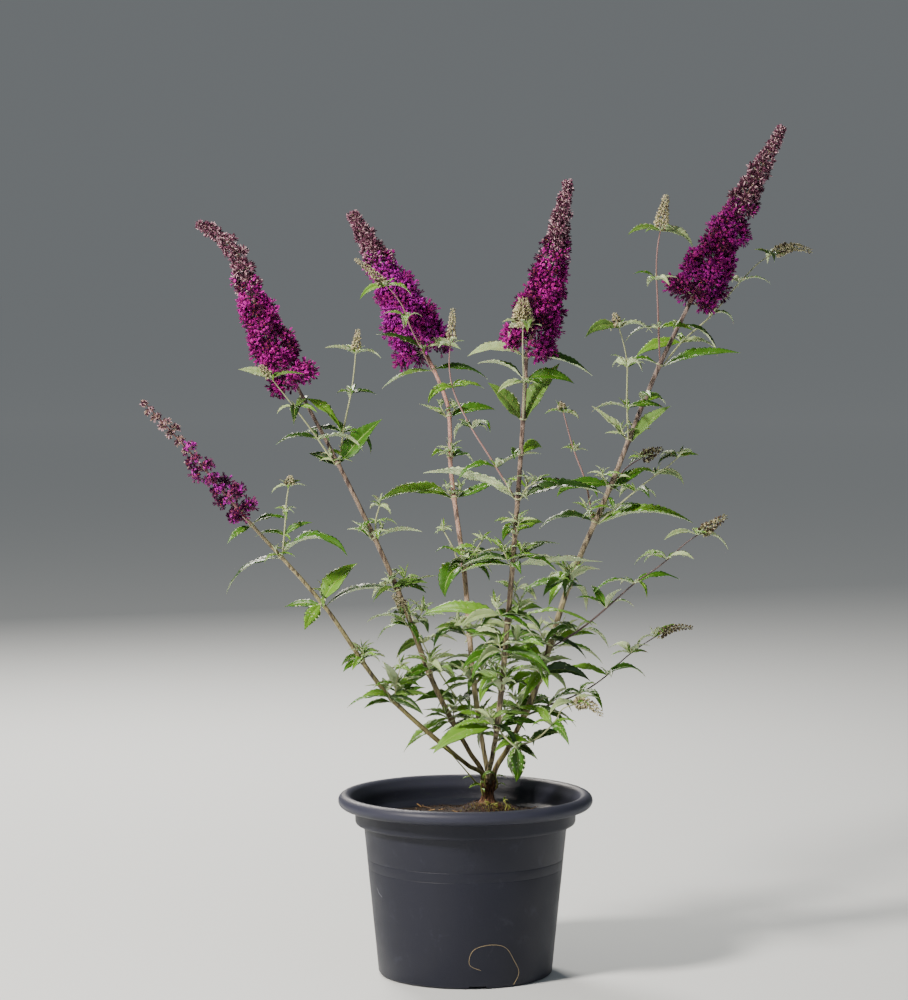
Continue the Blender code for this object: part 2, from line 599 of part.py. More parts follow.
def grow_shoot(mass, shoot, root, rng):
    """Grow a side shoot with its pairs of leaves, each pair turned a quarter from the last."""
    route = [root, *shoot.route[1:]]
    points = smooth_route(route, 1 + 3 * len(route) // 2)
    count = len(points)
    widest, narrowing = SHOOT_TAPER
    radii = [TWIG_RADIUS * (widest - narrowing * index / (count - 1)) for index in range(count)]
    radii[0] = COLLAR_TUBE * FOOT_SHARE
    if not mass.add_twig(points, radii):
        return
    for pair in range(shoot.pairs):
        share = (pair + 0.75) / (shoot.pairs - 0.20) if shoot.pairs > 1 else 0.92
        place_index = min(share, 0.97) * (count - 1)
        low = int(place_index)
        place = points[low].lerp(points[min(low + 1, count - 1)], place_index - low)
        level = pair / max(shoot.pairs - 1, 1)
        length = shoot.low_leaf + (shoot.top_leaf - shoot.low_leaf) * level
        start = shoot.heading + 90 * (pair % 2) + rng.uniform(-14, 14)
        for side in (0, 180):
            mass.add_leaf(place, Leaf(start + side, length * rng.uniform(0.9, 1.1),
                                      shoot.rise + rng.uniform(-8, 12), rng.uniform(45, 75),
                                      width=shoot.width))
    if shoot.spike:
        grow_spike(mass, points[-1], (points[-1] - points[-2]).normalized(), shoot)


def stem_points(stem):
    """Return the points along a stem from its upright foot to its tip."""
    foot = heading_vector(stem.foot_heading, 0) * STEM_RING_RADIUS + STUMP_CENTRE
    foot.z = MOUND_HEIGHT + CLEARANCE + STUMP_PROFILE[-1][1] + 2 * CLEARANCE
    knee = foot + Vector((0.0, 0.0, STEM_KNEE))
    return [foot, *smooth_route([knee, *stem.route], STEM_STATIONS - 1)]


def stem_place(points, radii, height):
    """Return the place, direction and radius of a stem at a height."""
    for index in range(len(points) - 1):
        low, high = points[index], points[index + 1]
        if low.z <= height <= high.z:
            share = (height - low.z) / (high.z - low.z)
            radius = radii[index] + (radii[index + 1] - radii[index]) * share
            return low.lerp(high, share), (high - low).normalized(), radius
    return points[-1], (points[-1] - points[-2]).normalized(), radii[-1]


def keep_outer_body(mesh):
    """Keep the largest closed body of a mesh, dropping loose scraps and the walls of sealed hollows."""
    work = bmesh.new()
    work.from_mesh(mesh)
    seen = set()
    bodies = []
    for start in work.faces:
        if start in seen:
            continue
        body = []
        stack = [start]
        seen.add(start)
        while stack:
            face = stack.pop()
            body.append(face)
            for edge in face.edges:
                for neighbour in edge.link_faces:
                    if neighbour not in seen:
                        seen.add(neighbour)
                        stack.append(neighbour)
        bodies.append(body)
    bodies.sort(key=len, reverse=True)
    bmesh.ops.delete(work, geom=[face for body in bodies[1:] for face in body], context="FACES")
    bmesh.ops.triangulate(work, faces=work.faces)
    work.to_mesh(mesh)
    work.free()


def fuse(masses, collection):
    """Join the loose solids of each mass by one Boolean union, and file the result."""
    for mass in masses:
        for piece in list(mass.loose.objects):
            if piece.type == "CURVE":
                bake(piece)
    for mass in masses:
        base = mass.base
        mass.loose.objects.unlink(base)
        collection.objects.link(base)
        union = base.modifiers.new("fuse", "BOOLEAN")
        union.operation = "UNION"
        union.operand_type = "COLLECTION"
        union.collection = mass.loose
        union.solver = FUSE_SOLVER
    bpy.context.view_layer.update()
    for mass in masses:
        mesh = finished_mesh(mass.base)
        keep_outer_body(mesh)
        mesh.materials.clear()
        mesh.materials.append(material(mass.kind))
        mass.base.modifiers.clear()
        mass.base.data = mesh
        for piece in list(mass.loose.objects):
            bpy.data.objects.remove(piece)
        bpy.data.collections.remove(mass.loose)


def build_pot(collection, cutters):
    """Turn the pot's shell with its rolled rim, collar and grooves, and cut its drainage slots."""
    ring_radius = RIM_OUTER_RADIUS - RIM_TUBE_RADIUS
    taper = (BODY_TOP_RADIUS - BODY_FOOT_RADIUS) / COLLAR_FOOT_HEIGHT
    rim = []
    for index in range(RIM_POINTS):
        angle = RIM_START - RIM_SWEEP * index / (RIM_POINTS - 1)
        rim.append((ring_radius + RIM_TUBE_RADIUS * math.cos(angle),
                    RIM_CENTRE_HEIGHT + RIM_TUBE_RADIUS * math.sin(angle)))
    outer = rim + [(COLLAR_RADIUS, RIM_CENTRE_HEIGHT - 0.006),
                   (COLLAR_RADIUS - 0.0012, COLLAR_FOOT_HEIGHT + 0.004),
                   (BODY_TOP_RADIUS + 0.003, COLLAR_FOOT_HEIGHT),
                   (BODY_TOP_RADIUS, COLLAR_FOOT_HEIGHT - 0.003)]
    for height in GROOVE_HEIGHTS:
        side = BODY_FOOT_RADIUS + taper * height
        outer += [(side, height + GROOVE_WIDTH / 2), (side - GROOVE_DEPTH, height),
                  (side, height - GROOVE_WIDTH / 2)]
    outer += [(BODY_FOOT_RADIUS + taper * FOOT_ROUNDING, FOOT_ROUNDING),
              (BODY_FOOT_RADIUS - FOOT_ROUNDING * 0.4, 0.0), (0.0, 0.0)]
    inner = [(0.0, BASE_THICKNESS), (BODY_FOOT_RADIUS - WALL, BASE_THICKNESS),
             (BODY_TOP_RADIUS - WALL, COLLAR_FOOT_HEIGHT + 0.004),
             (COLLAR_RADIUS - WALL, RIM_CENTRE_HEIGHT - 0.015),
             (COLLAR_RADIUS - WALL + 0.0015, RIM_CENTRE_HEIGHT - 0.004)]
    pot = turned("pot", outer + inner, POT_STEPS, (0.0, 0.0, 0.0), collection, "pot")
    for index in range(SLOT_COUNT):
        turn = SLOT_TURN - math.pi / 2 + index * math.tau / SLOT_COUNT
        bpy.ops.mesh.primitive_cube_add(size=1.0)
        slot = bpy.context.object
        slot.name = f"slot_{index + 1}"
        slot.scale = SLOT_SIZE
        slot.rotation_euler = (0.0, 0.0, turn)
        reach = BODY_FOOT_RADIUS - SLOT_SIZE[0] / 2 + 0.006
        slot.location = (math.cos(turn) * reach, math.sin(turn) * reach, SLOT_SIZE[2] / 2 - 0.0005)
        slot.hide_render = True
        slot.display_type = "WIRE"
        bpy.context.collection.objects.unlink(slot)
        cutters.objects.link(slot)
        cut = pot.modifiers.new(f"slot_{index + 1}", "BOOLEAN")
        cut.object = slot
        cut.solver = "EXACT"
    return pot


def build_compost(collection, cutters):
    """Turn the compost that fills the pot, with the mound that carries the rootstock."""
    foot = BODY_FOOT_RADIUS - WALL - COMPOST_GAP
    top = BODY_TOP_RADIUS - WALL - COMPOST_GAP
    profile = [(0.0, COMPOST_HEIGHT + 0.002), (top * 0.6, COMPOST_HEIGHT + 0.001),
               (top, COMPOST_HEIGHT - 0.002), (foot, BASE_THICKNESS + CLEARANCE),
               (0.0, BASE_THICKNESS + CLEARANCE)]
    compost = turned("compost", profile, POT_STEPS, (0.0, 0.0, 0.0), collection, "compost")
    mound = turned("mound", [(0.0, MOUND_HEIGHT), (MOUND_TOP_RADIUS, MOUND_HEIGHT),
                             (MOUND_SHOULDER_RADIUS, MOUND_SHOULDER_HEIGHT),
                             (MOUND_FOOT_RADIUS, COMPOST_HEIGHT - 0.002), (0.0, COMPOST_HEIGHT - 0.004)],
                   MOUND_STEPS, STUMP_CENTRE, cutters, "compost")
    mound.hide_render = True
    mound.display_type = "WIRE"
    union = compost.modifiers.new("mound", "BOOLEAN")
    union.operation = "UNION"
    union.object = mound
    union.solver = "EXACT"
    return compost


def build_rootstock(collection):
    """Turn the short rootstock, flared at its flat foot and spreading at its fork."""
    base = MOUND_HEIGHT + CLEARANCE
    profile = [(0.0, base + STUMP_PROFILE[-1][1])]
    profile += [(radius, base + height) for radius, height in reversed(STUMP_PROFILE)]
    profile.append((0.0, base))
    return turned("rootstock", profile, STUMP_STEPS, STUMP_CENTRE, collection, "bark")


def build_stems(collection, space):
    """Make each main stem, whole from its foot to its panicle, and note its shape."""
    shapes = {}
    for stem in STEMS:
        points = stem_points(stem)
        narrowing = stem.tip_radius - stem.foot_radius
        radii = [stem.foot_radius + narrowing * (index / (len(points) - 1)) ** TIP_TAPER
                 for index in range(len(points))]
        radii[:2] = [radius * FOOT_WAIST for radius in radii[:2]]
        name = "stem_" + stem.name
        limb_curve(name, points, radii, collection, "stem")
        bpy.context.view_layer.update()
        made = bake(bpy.data.objects[name])
        space.add(name, [vertex.co.copy() for vertex in made.data.vertices],
                  [tuple(face.vertices) for face in made.data.polygons])
        shapes[stem.name] = (points, radii)
    return shapes


def build_panicles(shapes, space, twig_section):
    """Make each panicle: a lobed core whose whorls swell in turn, with loose clusters at its foot."""
    made = []
    for panicle in PANICLES:
        mass = Mass("bloom_" + panicle.stem, space, twig_section, "bloom")
        rng = random.Random("bloom " + panicle.stem)
        stem_end, stem_radius = shapes[panicle.stem][0][-1], shapes[panicle.stem][1][-1]
        along = (Vector(panicle.axis[1]) - Vector(panicle.axis[0])).normalized()
        end_along = (stem_end - shapes[panicle.stem][0][-2]).normalized()
        foot = stem_end + end_along * CLEARANCE * 1.5
        levels = panicle.whorls * 2
        points = [foot] + smooth_route([foot + along * PEDUNCLE, *panicle.axis[1:]], levels + 1)
        widths = [panicle.base_half_width
                  + (panicle.tip_half_width - panicle.base_half_width) * index / levels
                  for index in range(levels + 1)]
        radii = [width * (0.95 if index % 2 else WAIST_SHARE) for index, width in enumerate(widths)]
        radii = [stem_radius * 0.9, stem_radius, *radii[1:-1], TWIG_RADIUS]
        tilts = [LOBE_TILT * (index // 2) for index in range(len(points))]
        core = limb_curve(mass.name, points, radii, mass.loose, mass.kind, LOBED_SECTION, tilts)
        bpy.context.view_layer.update()
        mass.base = bake(core)
        space.add(mass.name, [vertex.co.copy() for vertex in mass.base.data.vertices],
                  [tuple(face.vertices) for face in mass.base.data.polygons])
        for index in (1, 3):
            axis = (points[index + 2] - points[index]).normalized()
            side = axis.orthogonal().normalized()
            for cluster in range(CLUSTERS):
                angle = math.tau * (cluster + index / 4 + rng.uniform(-0.15, 0.15)) / CLUSTERS
                out = Matrix.Rotation(angle, 3, axis) @ side
                out = (out + axis * CLUSTER_RISE).normalized()
                add_cluster(mass, points[index + 1], out, widths[index], widths[index] * CLUSTER_GIRTH)
        made.append(mass)
    return made


def add_cluster(mass, root, out, reach, radius):
    """Add one flower cluster, a faceted bulb that points outwards from the core."""
    work = bmesh.new()
    bmesh.ops.create_uvsphere(work, u_segments=4, v_segments=2, radius=radius)
    stretch = Matrix.Diagonal((1.0, 1.0, CLUSTER_STRETCH)).to_3x3()
    turn = out.to_track_quat("Z", "Y").to_matrix()
    for vertex in work.verts:
        vertex.co = root + out * (reach - radius * CLUSTER_STRETCH) + turn @ (stretch @ vertex.co)
    mesh = bpy.data.meshes.new(mass.name)
    work.to_mesh(mesh)
    work.free()
    add_mesh(mass.next_name(), mesh, mass.loose, mass.kind)
    mass.space.add(mass.name, [vertex.co.copy() for vertex in mesh.vertices],
                   [tuple(face.vertices) for face in mesh.polygons])


def build_foliage(shapes, space, twig_section):
    """Grow every mass of foliage: shoots first, then the large leaves, then the small tufts."""
    placed = []
    for stem in STEMS:
        points, radii = shapes[stem.name]
        for index, whorl in enumerate(stem.whorls):
            mass = Mass(f"leaves_{stem.name}_{index + 1}", space, twig_section)
            centre, along, radius = stem_place(points, radii, whorl.height)
            ring = mass.add_collar(centre, along, radius)
            space.add(mass.name, [vertex.co.copy() for vertex in mass.base.data.vertices],
                      [tuple(face.vertices) for face in mass.base.data.polygons])
            placed.append((mass, whorl, centre, along, ring, random.Random(mass.name)))
    for mass, whorl, centre, along, ring, rng in placed:
        for shoot in whorl.shoots:
            towards = Vector(shoot.route[-1]) - centre
            root = ring_place(centre, along, ring, math.degrees(math.atan2(towards.y, towards.x)))
            grow_shoot(mass, shoot, root, rng)
    for mass, whorl, centre, along, ring, rng in placed:
        for leaf in whorl.leaves:
            mass.add_leaf(ring_place(centre, along, ring, leaf.heading), leaf)
    for mass, whorl, centre, along, ring, rng in placed:
        for leaf in whorl.leaves[:2]:
            if whorl.tuft:
                side = leaf.heading + TUFT_TURN
                grow_tuft(mass, ring_place(centre, along, ring, side), side, whorl.tuft, rng)
    return [item[0] for item in placed]


def ring_place(centre, along, ring, heading):
    """Return the place on a collar that faces a compass heading."""
    flat = heading_vector(heading, 0)
    outward = (flat - along * flat.dot(along)).normalized()
    return centre + outward * ring


def section_object(name, sides, guides, valley=1.0):
    """Make a closed curve of a number of corners, every second one on the radius given as valley."""
    curve = bpy.data.curves.new(name, "CURVE")
    curve.dimensions = "3D"
    spline = curve.splines.new("POLY")
    spline.use_cyclic_u = True
    spline.points.add(sides - 1)
    for index, place in enumerate(spline.points):
        angle = -math.tau * index / sides
        radius = valley if index % 2 else 1.0
        place.co = (math.cos(angle) * radius, math.sin(angle) * radius, 0.0, 1.0)
    made = bpy.data.objects.new(name, curve)
    made.hide_render = True
    made.display_type = "WIRE"
    guides.objects.link(made)
    return made


for leftover in list(bpy.data.objects):
    bpy.data.objects.remove(leftover)
bush = new_collection("potted_butterfly_bush")
cutters = new_collection("cutters")
TWIG_SECTION = section_object("twig_section", 3, cutters)
BUD_SECTION = section_object("bud_section", 4, cutters)
LOBED_SECTION = section_object("lobed_section", 8, cutters, WAIST_SHARE)
placed_space = Space()
build_pot(bush, cutters)
build_compost(bush, cutters)
build_rootstock(bush)
stem_shapes = build_stems(bush, placed_space)
blooms = build_panicles(stem_shapes, placed_space, TWIG_SECTION)
foliage = build_foliage(stem_shapes, placed_space, TWIG_SECTION)
fuse(blooms + foliage, bush)
for name in ("pot", "rootstock", *("stem_" + stem.name for stem in STEMS)):
    bpy.data.objects[name].data.shade_smooth()
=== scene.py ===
"""Looks of a potted butterfly bush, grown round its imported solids.

Every measure is in metres in the solids' own frame: +Z up, the plant's front towards -Y, the
pot's flat underside at the origin.  Stems, leaf nodes and side shoots follow the same growth
rule as the solids, and are carried on here to real leaves, florets, buds and bark.
"""

import logging
import math
import random
from dataclasses import dataclass, field, replace
from enum import Enum, IntEnum

import bpy
import numpy as np
from mathutils import Matrix, Vector, noise
from mathutils.bvhtree import BVHTree


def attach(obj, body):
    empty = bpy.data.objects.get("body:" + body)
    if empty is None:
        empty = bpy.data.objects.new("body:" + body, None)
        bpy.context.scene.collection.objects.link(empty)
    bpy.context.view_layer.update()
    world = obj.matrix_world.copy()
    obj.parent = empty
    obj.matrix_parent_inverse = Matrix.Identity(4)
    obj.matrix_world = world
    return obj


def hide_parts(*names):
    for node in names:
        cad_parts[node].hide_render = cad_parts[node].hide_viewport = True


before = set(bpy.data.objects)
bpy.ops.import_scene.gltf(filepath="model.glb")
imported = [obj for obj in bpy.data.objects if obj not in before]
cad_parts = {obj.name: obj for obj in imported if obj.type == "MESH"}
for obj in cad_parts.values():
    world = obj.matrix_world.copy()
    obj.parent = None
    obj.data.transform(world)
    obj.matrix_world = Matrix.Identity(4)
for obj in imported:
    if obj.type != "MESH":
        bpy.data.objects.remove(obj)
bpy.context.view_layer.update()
LOG = logging.getLogger("butterfly_bush")
MM = 0.001


# Growth plan


def metres(value: tuple | float) -> tuple | float:
    """Turn millimetres, or nested rows of them, into metres."""
    return tuple(metres(part) for part in value) if isinstance(value, tuple) else value / 1000


@dataclass(frozen=True)
class Leaf:
    """One leaf: its stalk's heading and rise, its length, its blade's bend, turn to the light, width."""

    heading: float
    length: float
    rise: float = 25.0
    droop: float = 50.0
    facing: float = 26.0
    width: float = 0.27


@dataclass(frozen=True)
class Shoot:
    """A side shoot: its route, its pairs of leaves, the spike at its tip with sag and girth, its tone."""

    route: tuple
    pairs: int
    low_leaf: float
    top_leaf: float
    spike: float = 0.0
    heading: float = 0.0
    rise: float = 30.0
    width: float = 0.27
    sag: float = 0.12
    tone: int = 0
    girth: float = 1.0

    @staticmethod
    def mm(route: tuple, pairs: int, low_leaf: float, top_leaf: float, spike: float, *rest: float,
           **more: float) -> "Shoot":
        """Plan a side shoot, with its route and lengths in millimetres."""
        return Shoot(metres(route), pairs, *metres((low_leaf, top_leaf, spike)), *rest, **more)


@dataclass(frozen=True)
class Whorl:
    """A leaf node on a stem: its height, its leaves, the size of its tufts and its side shoots."""

    height: float
    leaves: tuple
    tuft: float
    shoots: tuple

    @staticmethod
    def mm(height: float, leaves: tuple, tuft: float = 20, *shoots: Shoot) -> "Whorl":
        """Plan a leaf node, with its height, its tuft and each leaf's second value in millimetres."""
        return Whorl(height / 1000, tuple(Leaf(turn, length / 1000, *rest) for turn, length, *rest in leaves),
                     tuft / 1000, shoots)


@dataclass(frozen=True)
class StemPlan:
    """A main stem: the heading of its foot, its route, its radii and its leaf nodes."""

    name: str
    foot_heading: float
    route: tuple
    foot_radius: float
    tip_radius: float
    whorls: tuple

    @staticmethod
    def mm(name: str, foot_heading: float, route: tuple, *rest: object) -> "StemPlan":
        """Plan a main stem, with its route in millimetres."""
        return StemPlan(name, foot_heading, metres(route), *rest)


@dataclass(frozen=True)
class PaniclePlan:
    """A panicle: stem, axis, half widths, whorls, how it flowers, finish numbers, gap at its foot."""

    stem: str
    axis: tuple
    base_half_width: float
    tip_half_width: float
    whorls: int
    open_share: float
    fullness: float
    petals: tuple
    buds: tuple
    foot_gap: float = 0.035

    @staticmethod
    def mm(name: str, axis: tuple, base: float, tip: float, *rest: object) -> "PaniclePlan":
        """Plan a panicle, with its axis and its half widths in millimetres."""
        return PaniclePlan(name, *metres((axis, base, tip)), *rest)


STEMS = (
    StemPlan.mm("far_left", 215, ((-30, -15, 275), (-85, -30, 327), (-166, -67, 445), (-250, -100, 544)),
                0.0029, 0.0019, (
        Whorl.mm(327, ((190, 34, 10), (15, 38, 40, 40)), 24,
            Shoot.mm(((-85, -30, 327), (-81, -35, 345), (-76, -40, 366)), 2, 34, 28, 0, 30)),
        Whorl.mm(375, ((-120, 40), (50, 45)), 18),
        Whorl.mm(445, ((35, 62, 58, 30, 55, 0.44), (170, 44, 10, 30, 30), (230, 42, -30, 20, 35, 0.42)), 18),
        Whorl.mm(501, ((185, 78, 5, 55), (-10, 92, 45, 85)), 16,
            Shoot.mm(((-213, -86, 501), (-207, -88, 537), (-205, -90, 566), (-202, -90, 584)), 3, 34, 22, 12,
                  15)),
        Whorl.mm(538, ((205, 34, -15, 40, 30, 0.36), (20, 44, 40, 30)), 0),
    )),
    StemPlan.mm("left", 150, ((-34, 13, 333), (-81, 28, 453), (-151, 48, 599), (-199, 60, 688)),
                0.0034, 0.0021, (
        Whorl.mm(297, ((188, 66, -5, 45, 45, 0.38), (30, 44, 30)), 22),
        Whorl.mm(353, ((-130, 56, 25, 60), (50, 56, 25, 60)), 28),
        Whorl.mm(409, ((-60, 52), (140, 56, 30)), 26,
            Shoot.mm(((-63, 23, 410), (-68, 10, 426), (-74, 0, 436)), 0, 0, 0, 26, 0)),
        Whorl.mm(450, ((182, 88, 20, 55, 25), (8, 46, 35, 30, 30)), 22),
        Whorl.mm(511, ((165, 36, 45, 30), (-5, 54, 35, 25), (-80, 42)), 18,
            Shoot.mm(((-112, 36, 511), (-106, 30, 531), (-101, 25, 551)), 2, 30, 24, 0, 30)),
        Whorl.mm(599, ((18, 72, 52, 16, 60, 0.38), (165, 36, 35, 20, 40, 0.4)), 16,
            Shoot.mm(((-152, 48, 600), (-183, 35, 641), (-214, 20, 683), (-230, 12, 704)), 3, 56, 40, 20, 10),
            Shoot.mm(((-151, 48, 603), (-144, 70, 643), (-135, 90, 689), (-131, 100, 731)), 3, 52, 38, 30,
                  10)),
        Whorl.mm(673, ((-8, 60, -10, 30), (95, 45), (-100, 44, 10, 40)), 0),
    )),
    StemPlan.mm("back", 95, ((11, 40, 330), (-2, 96, 470), (-18, 146, 590), (-22, 176, 662), (-46, 200, 719)),
                0.0035, 0.0021, (
        Whorl.mm(288, ((40, 62, 20, 60), (165, 44, 20)), 24,
            Shoot.mm(((16, 30, 288), (-20, 70, 330), (-50, 110, 375), (-68, 140, 415)), 4, 68, 40, 0, 40)),
        Whorl.mm(338, ((5, 46, 55, 30), (185, 44, -5, 40)), 22,
            Shoot.mm(((11, 43, 338), (34, 90, 368), (50, 130, 400), (62, 160, 440)), 4, 70, 44, 0, 40)),
        Whorl.mm(393, ((-40, 62, 20, 60, -30, 0.34), (140, 58, 20, 60)), 26),
        Whorl.mm(470, ((-125, 54, 8, 110, 0, 0.58), (-8, 64, 30, 40)), 24,
            Shoot.mm(((-2, 96, 472), (-15, 100, 494), (-27, 105, 515)), 2, 30, 24, 0, 30),
            Shoot.mm(((-1, 96, 472), (11, 90, 490), (21, 85, 505)), 2, 30, 24, 0, 40)),
        Whorl.mm(552, ((178, 96, 35, 70), (5, 58, 28, 25), (95, 50))),
        Whorl.mm(600, ((60, 56, 30, 60), (-120, 46, 30)), 16),
        Whorl.mm(648, ((170, 36, 35, 20), (5, 58, 32, 42, 40, 0.36)), 18),
        Whorl.mm(704, ((182, 66, 4, 50, 25), (0, 68, 20, 45), (100, 40)), 0,
            Shoot.mm(((-38, 190, 704), (-52, 168, 728), (-66, 145, 756), (-79, 135, 789), (-98, 128, 810)), 3,
                  56, 36, 52, 5, tone=1)),
    )),
    StemPlan.mm("front", -85, ((37, -16, 292), (49, -49, 421), (60, -90, 568), (66, -120, 670), (69, -140, 737)),
                0.0036, 0.0022, (
        Whorl.mm(292, ((197, 82, 10, 50, 45, 0.36), (20, 50, 30, 60, 40, 0.34)), 26,
            Shoot.mm(((36, -15, 290), (46, -34, 284), (60, -46, 272)), 1, 44, 44, 0, -60, rise=-50,
                  width=0.46)),
        Whorl.mm(341, ((-110, 58, 25, 60), (75, 52, 25, 60)), 32),
        Whorl.mm(381, ((-20, 56, 30, 60), (205, 56, 20, 60, 45, 0.36)), 30),
        Whorl.mm(421, ((176, 100, 30, 45, 20), (-3, 102, 35, 75, 20)), 30),
        Whorl.mm(489, ((2, 100, 15, 20, -32, 0.24), (190, 58, 8, 30, 30), (-85, 50)), 26),
        Whorl.mm(528, ((-110, 48, 35, 60), (55, 52, 40, 60, 30, 0.4))),
        Whorl.mm(568, ((168, 115, 38, 40, -30, 0.22), (-4, 104, 32, 50, 25)), 22,
            Shoot.mm(((58, -90, 566), (30, -75, 611), (-3, -55, 665), (-18, -45, 704), (-17, -40, 748)), 4, 56,
                  30, 42, 20, tone=1),
            Shoot.mm(((61, -90, 569), (70, -100, 580), (82, -115, 590)), 1, 30, 30, 0, 0)),
        Whorl.mm(620, ((-110, 48, 35, 60), (60, 52, 35, 60)), 0),
        Whorl.mm(661, ((-5, 74, 70, 14, 50, 0.4), (195, 56, 66, 15, 60, 0.42)), 0,
            Shoot.mm(((65, -117, 661), (66, -151, 700), (64, -178, 738), (64, -186, 769)), 2, 36, 52, 36, 0,
                  girth=2.1)),
        Whorl.mm(708, ((180, 56, 48), (0, 54, 20, 50, 35, 0.34)), 0),
        Whorl.mm(732, ((-3, 76, 6, 35), (176, 68, 42, 30)), 0),
    )),
    StemPlan.mm("right", 0, ((82, 12, 333), (123, 27, 459), (171, 42, 571), (230, 60, 715), (266, 70, 788)),
                0.0038, 0.0024, (
        Whorl.mm(268, ((-60, 50, 10), (120, 44, 20)), 18,
            Shoot.mm(((55, 12, 268), (82, -20, 279), (105, -50, 306), (116, -65, 324), (128, -71, 328)), 3, 50,
                  44, 38, 35, sag=0.7, girth=1.3)),
        Whorl.mm(305, ((180, 56, 35, 60), (-5, 64, 20, 60)), 24,
            Shoot.mm(((72, 13, 305), (100, 40, 312), (134, 60, 322), (168, 80, 341), (192, 100, 361),
                  (222, 118, 380), (234, 126, 386)), 5, 66, 44, 56, 30, width=0.22, sag=0.3, tone=2)),
        Whorl.mm(345, ((-120, 62, 30, 60, 0, 0.34), (60, 60, 25, 60)), 32),
        Whorl.mm(386, ((175, 64, 40, 60), (0, 66, 10, 60)), 32,
            Shoot.mm(((99, 18, 386), (137, -20, 411), (170, -50, 443), (197, -80, 471), (224, -100, 492),
                  (256, -120, 523), (270, -128, 533)), 5, 62, 48, 36, 30, width=0.21, sag=0.0, tone=2,
                  girth=1.25)),
        Whorl.mm(455, ((-115, 68, 30, 60), (65, 66, 25, 60), (175, 54, 30, 60)), 28),
        Whorl.mm(530, ((0, 116, 30, 55, 25), (182, 68, 30, 60)), 22,
            Shoot.mm(((155, 37, 535), (188, 20, 558), (217, 0, 584), (236, -10, 599), (250, -14, 612)), 4, 56,
                  42, 0, 30, width=0.22),
            Shoot.mm(((153, 37, 530), (142, 60, 578), (128, 80, 616), (121, 90, 642), (116, 98, 660)), 3, 50,
                  26, 12, 20, tone=1)),
        Whorl.mm(571, ((185, 62, 22, 40), (-3, 56, 32, 25)), 20,
            Shoot.mm(((171, 42, 571), (190, 60, 592), (212, 72, 605)), 1, 34, 34, 30, 60, tone=2, girth=1.3)),
        Whorl.mm(627, ((172, 58, 52, 12, 30), (-5, 66, 50, 12, 50, 0.38)), 18,
            Shoot.mm(((191, 49, 629), (190, 30, 675), (188, 10, 729), (178, 0, 764)), 3, 44, 54, 18, 15)),
        Whorl.mm(672, ((-115, 56, 30, 60), (60, 56, 30, 60)), 0),
        Whorl.mm(715, ((-5, 94, 25, 35, 25), (178, 50, 30)), 0,
            Shoot.mm(((230, 60, 717), (226, 30, 783), (224, 12, 851), (228, 9, 878)), 3, 46, 46, 44, 5, tone=1,
                  girth=1.35),
            Shoot.mm(((233, 62, 718), (260, 85, 744), (288, 100, 767), (331, 120, 814), (356, 127, 838),
                  (372, 130, 847)), 4, 56, 36, 54, 10, sag=0.5, girth=1.25)),
        Whorl.mm(764, ((-8, 60, 5, 60), (95, 40, 20), (-110, 40, 10)), 0),
    )),
)

PANICLES = (
    PaniclePlan.mm("far_left", ((-252, -100, 547), (-312, -112, 620), (-367, -122, 682)),
                   24, 7, 13, 0.54, 0.60, (0, 5, 4), (9, 9, 11, 12)),
    PaniclePlan.mm("left", ((-199, 60, 688), (-238, 65, 756), (-285, 71, 863), (-317, 73, 883)),
                   34, 8, 22, 0.54, 0.92, (0, 1, 3), (9, 9, 10, 11), 0.05),
    PaniclePlan.mm("back", ((-46, 200, 719), (-87, 222, 801), (-140, 244, 895)),
                   42, 8, 20, 0.62, 1.0, (1, 2, 4), (9, 9, 10, 10, 11)),
    PaniclePlan.mm("front", ((70, -140, 741), (84, -148, 785), (98, -155, 841), (114, -171, 929)),
                   35, 7, 21, 0.56, 0.94, (0, 1, 3), (9, 9, 10, 11), 0.06),
    PaniclePlan.mm("right", ((268, 70, 792), (304, 76, 857), (331, 79, 910), (376, 85, 996)),
                   37, 7, 23, 0.50, 0.96, (0, 1, 2), (9, 9, 9, 10, 11)),
)

# Rootstock and stems, as in the solids
STUMP_CENTRE = Vector((0.027, 0.035, 0.0))
MOUND_HEIGHT = 0.1955
CLEARANCE = 0.3 * MM
STUMP_PROFILE = ((0.0125, 0.0), (0.0088, 0.0045), (0.0078, 0.012), (0.0100, 0.021), (0.0106, 0.0262))
STEM_RING_RADIUS = 0.0068
STEM_KNEE = 0.004
STEM_STATIONS = 17
STEM_SIDES = 6
TIP_TAPER = 1.6
FOOT_WAIST = 0.85
ROUTE_STEPS = 16
CAP_SHARE = 0.05
# Order of a quad's corners that turns it over
TURNED_OVER = (0, 3, 2, 1)

# The growth rule, as in the solids
COLLAR_TUBE = 0.0012
TWIG_RADIUS = 0.0011
LEAF_THICKNESS_RATIO = 0.012
LEAF_FOLD = 0.13
LEAF_CLEARANCE = 0.0006
SMALL_LEAF = 0.049
BLADE_STATIONS = ((0.34, 1.0), (0.70, 0.62))
SMALL_BLADE_STATIONS = ((0.45, 1.0),)
TURN_TRIALS = (0, 9, -9, 18, -18, 28, -28, 40, -40)
RISE_TRIALS = (0, -10, 10, -20, 20)
PEDUNCLE = 0.006


# Finishes


def linear(code: str) -> tuple[float, float, float, float]:
    """Turn an sRGB hex colour into linear red, green, blue and alpha."""
    channels = [int(code[start:start + 2], 16) / 255 for start in (1, 3, 5)]
    return (*(c / 12.92 if c <= 0.04045 else ((c + 0.055) / 1.055) ** 2.4 for c in channels), 1.0)


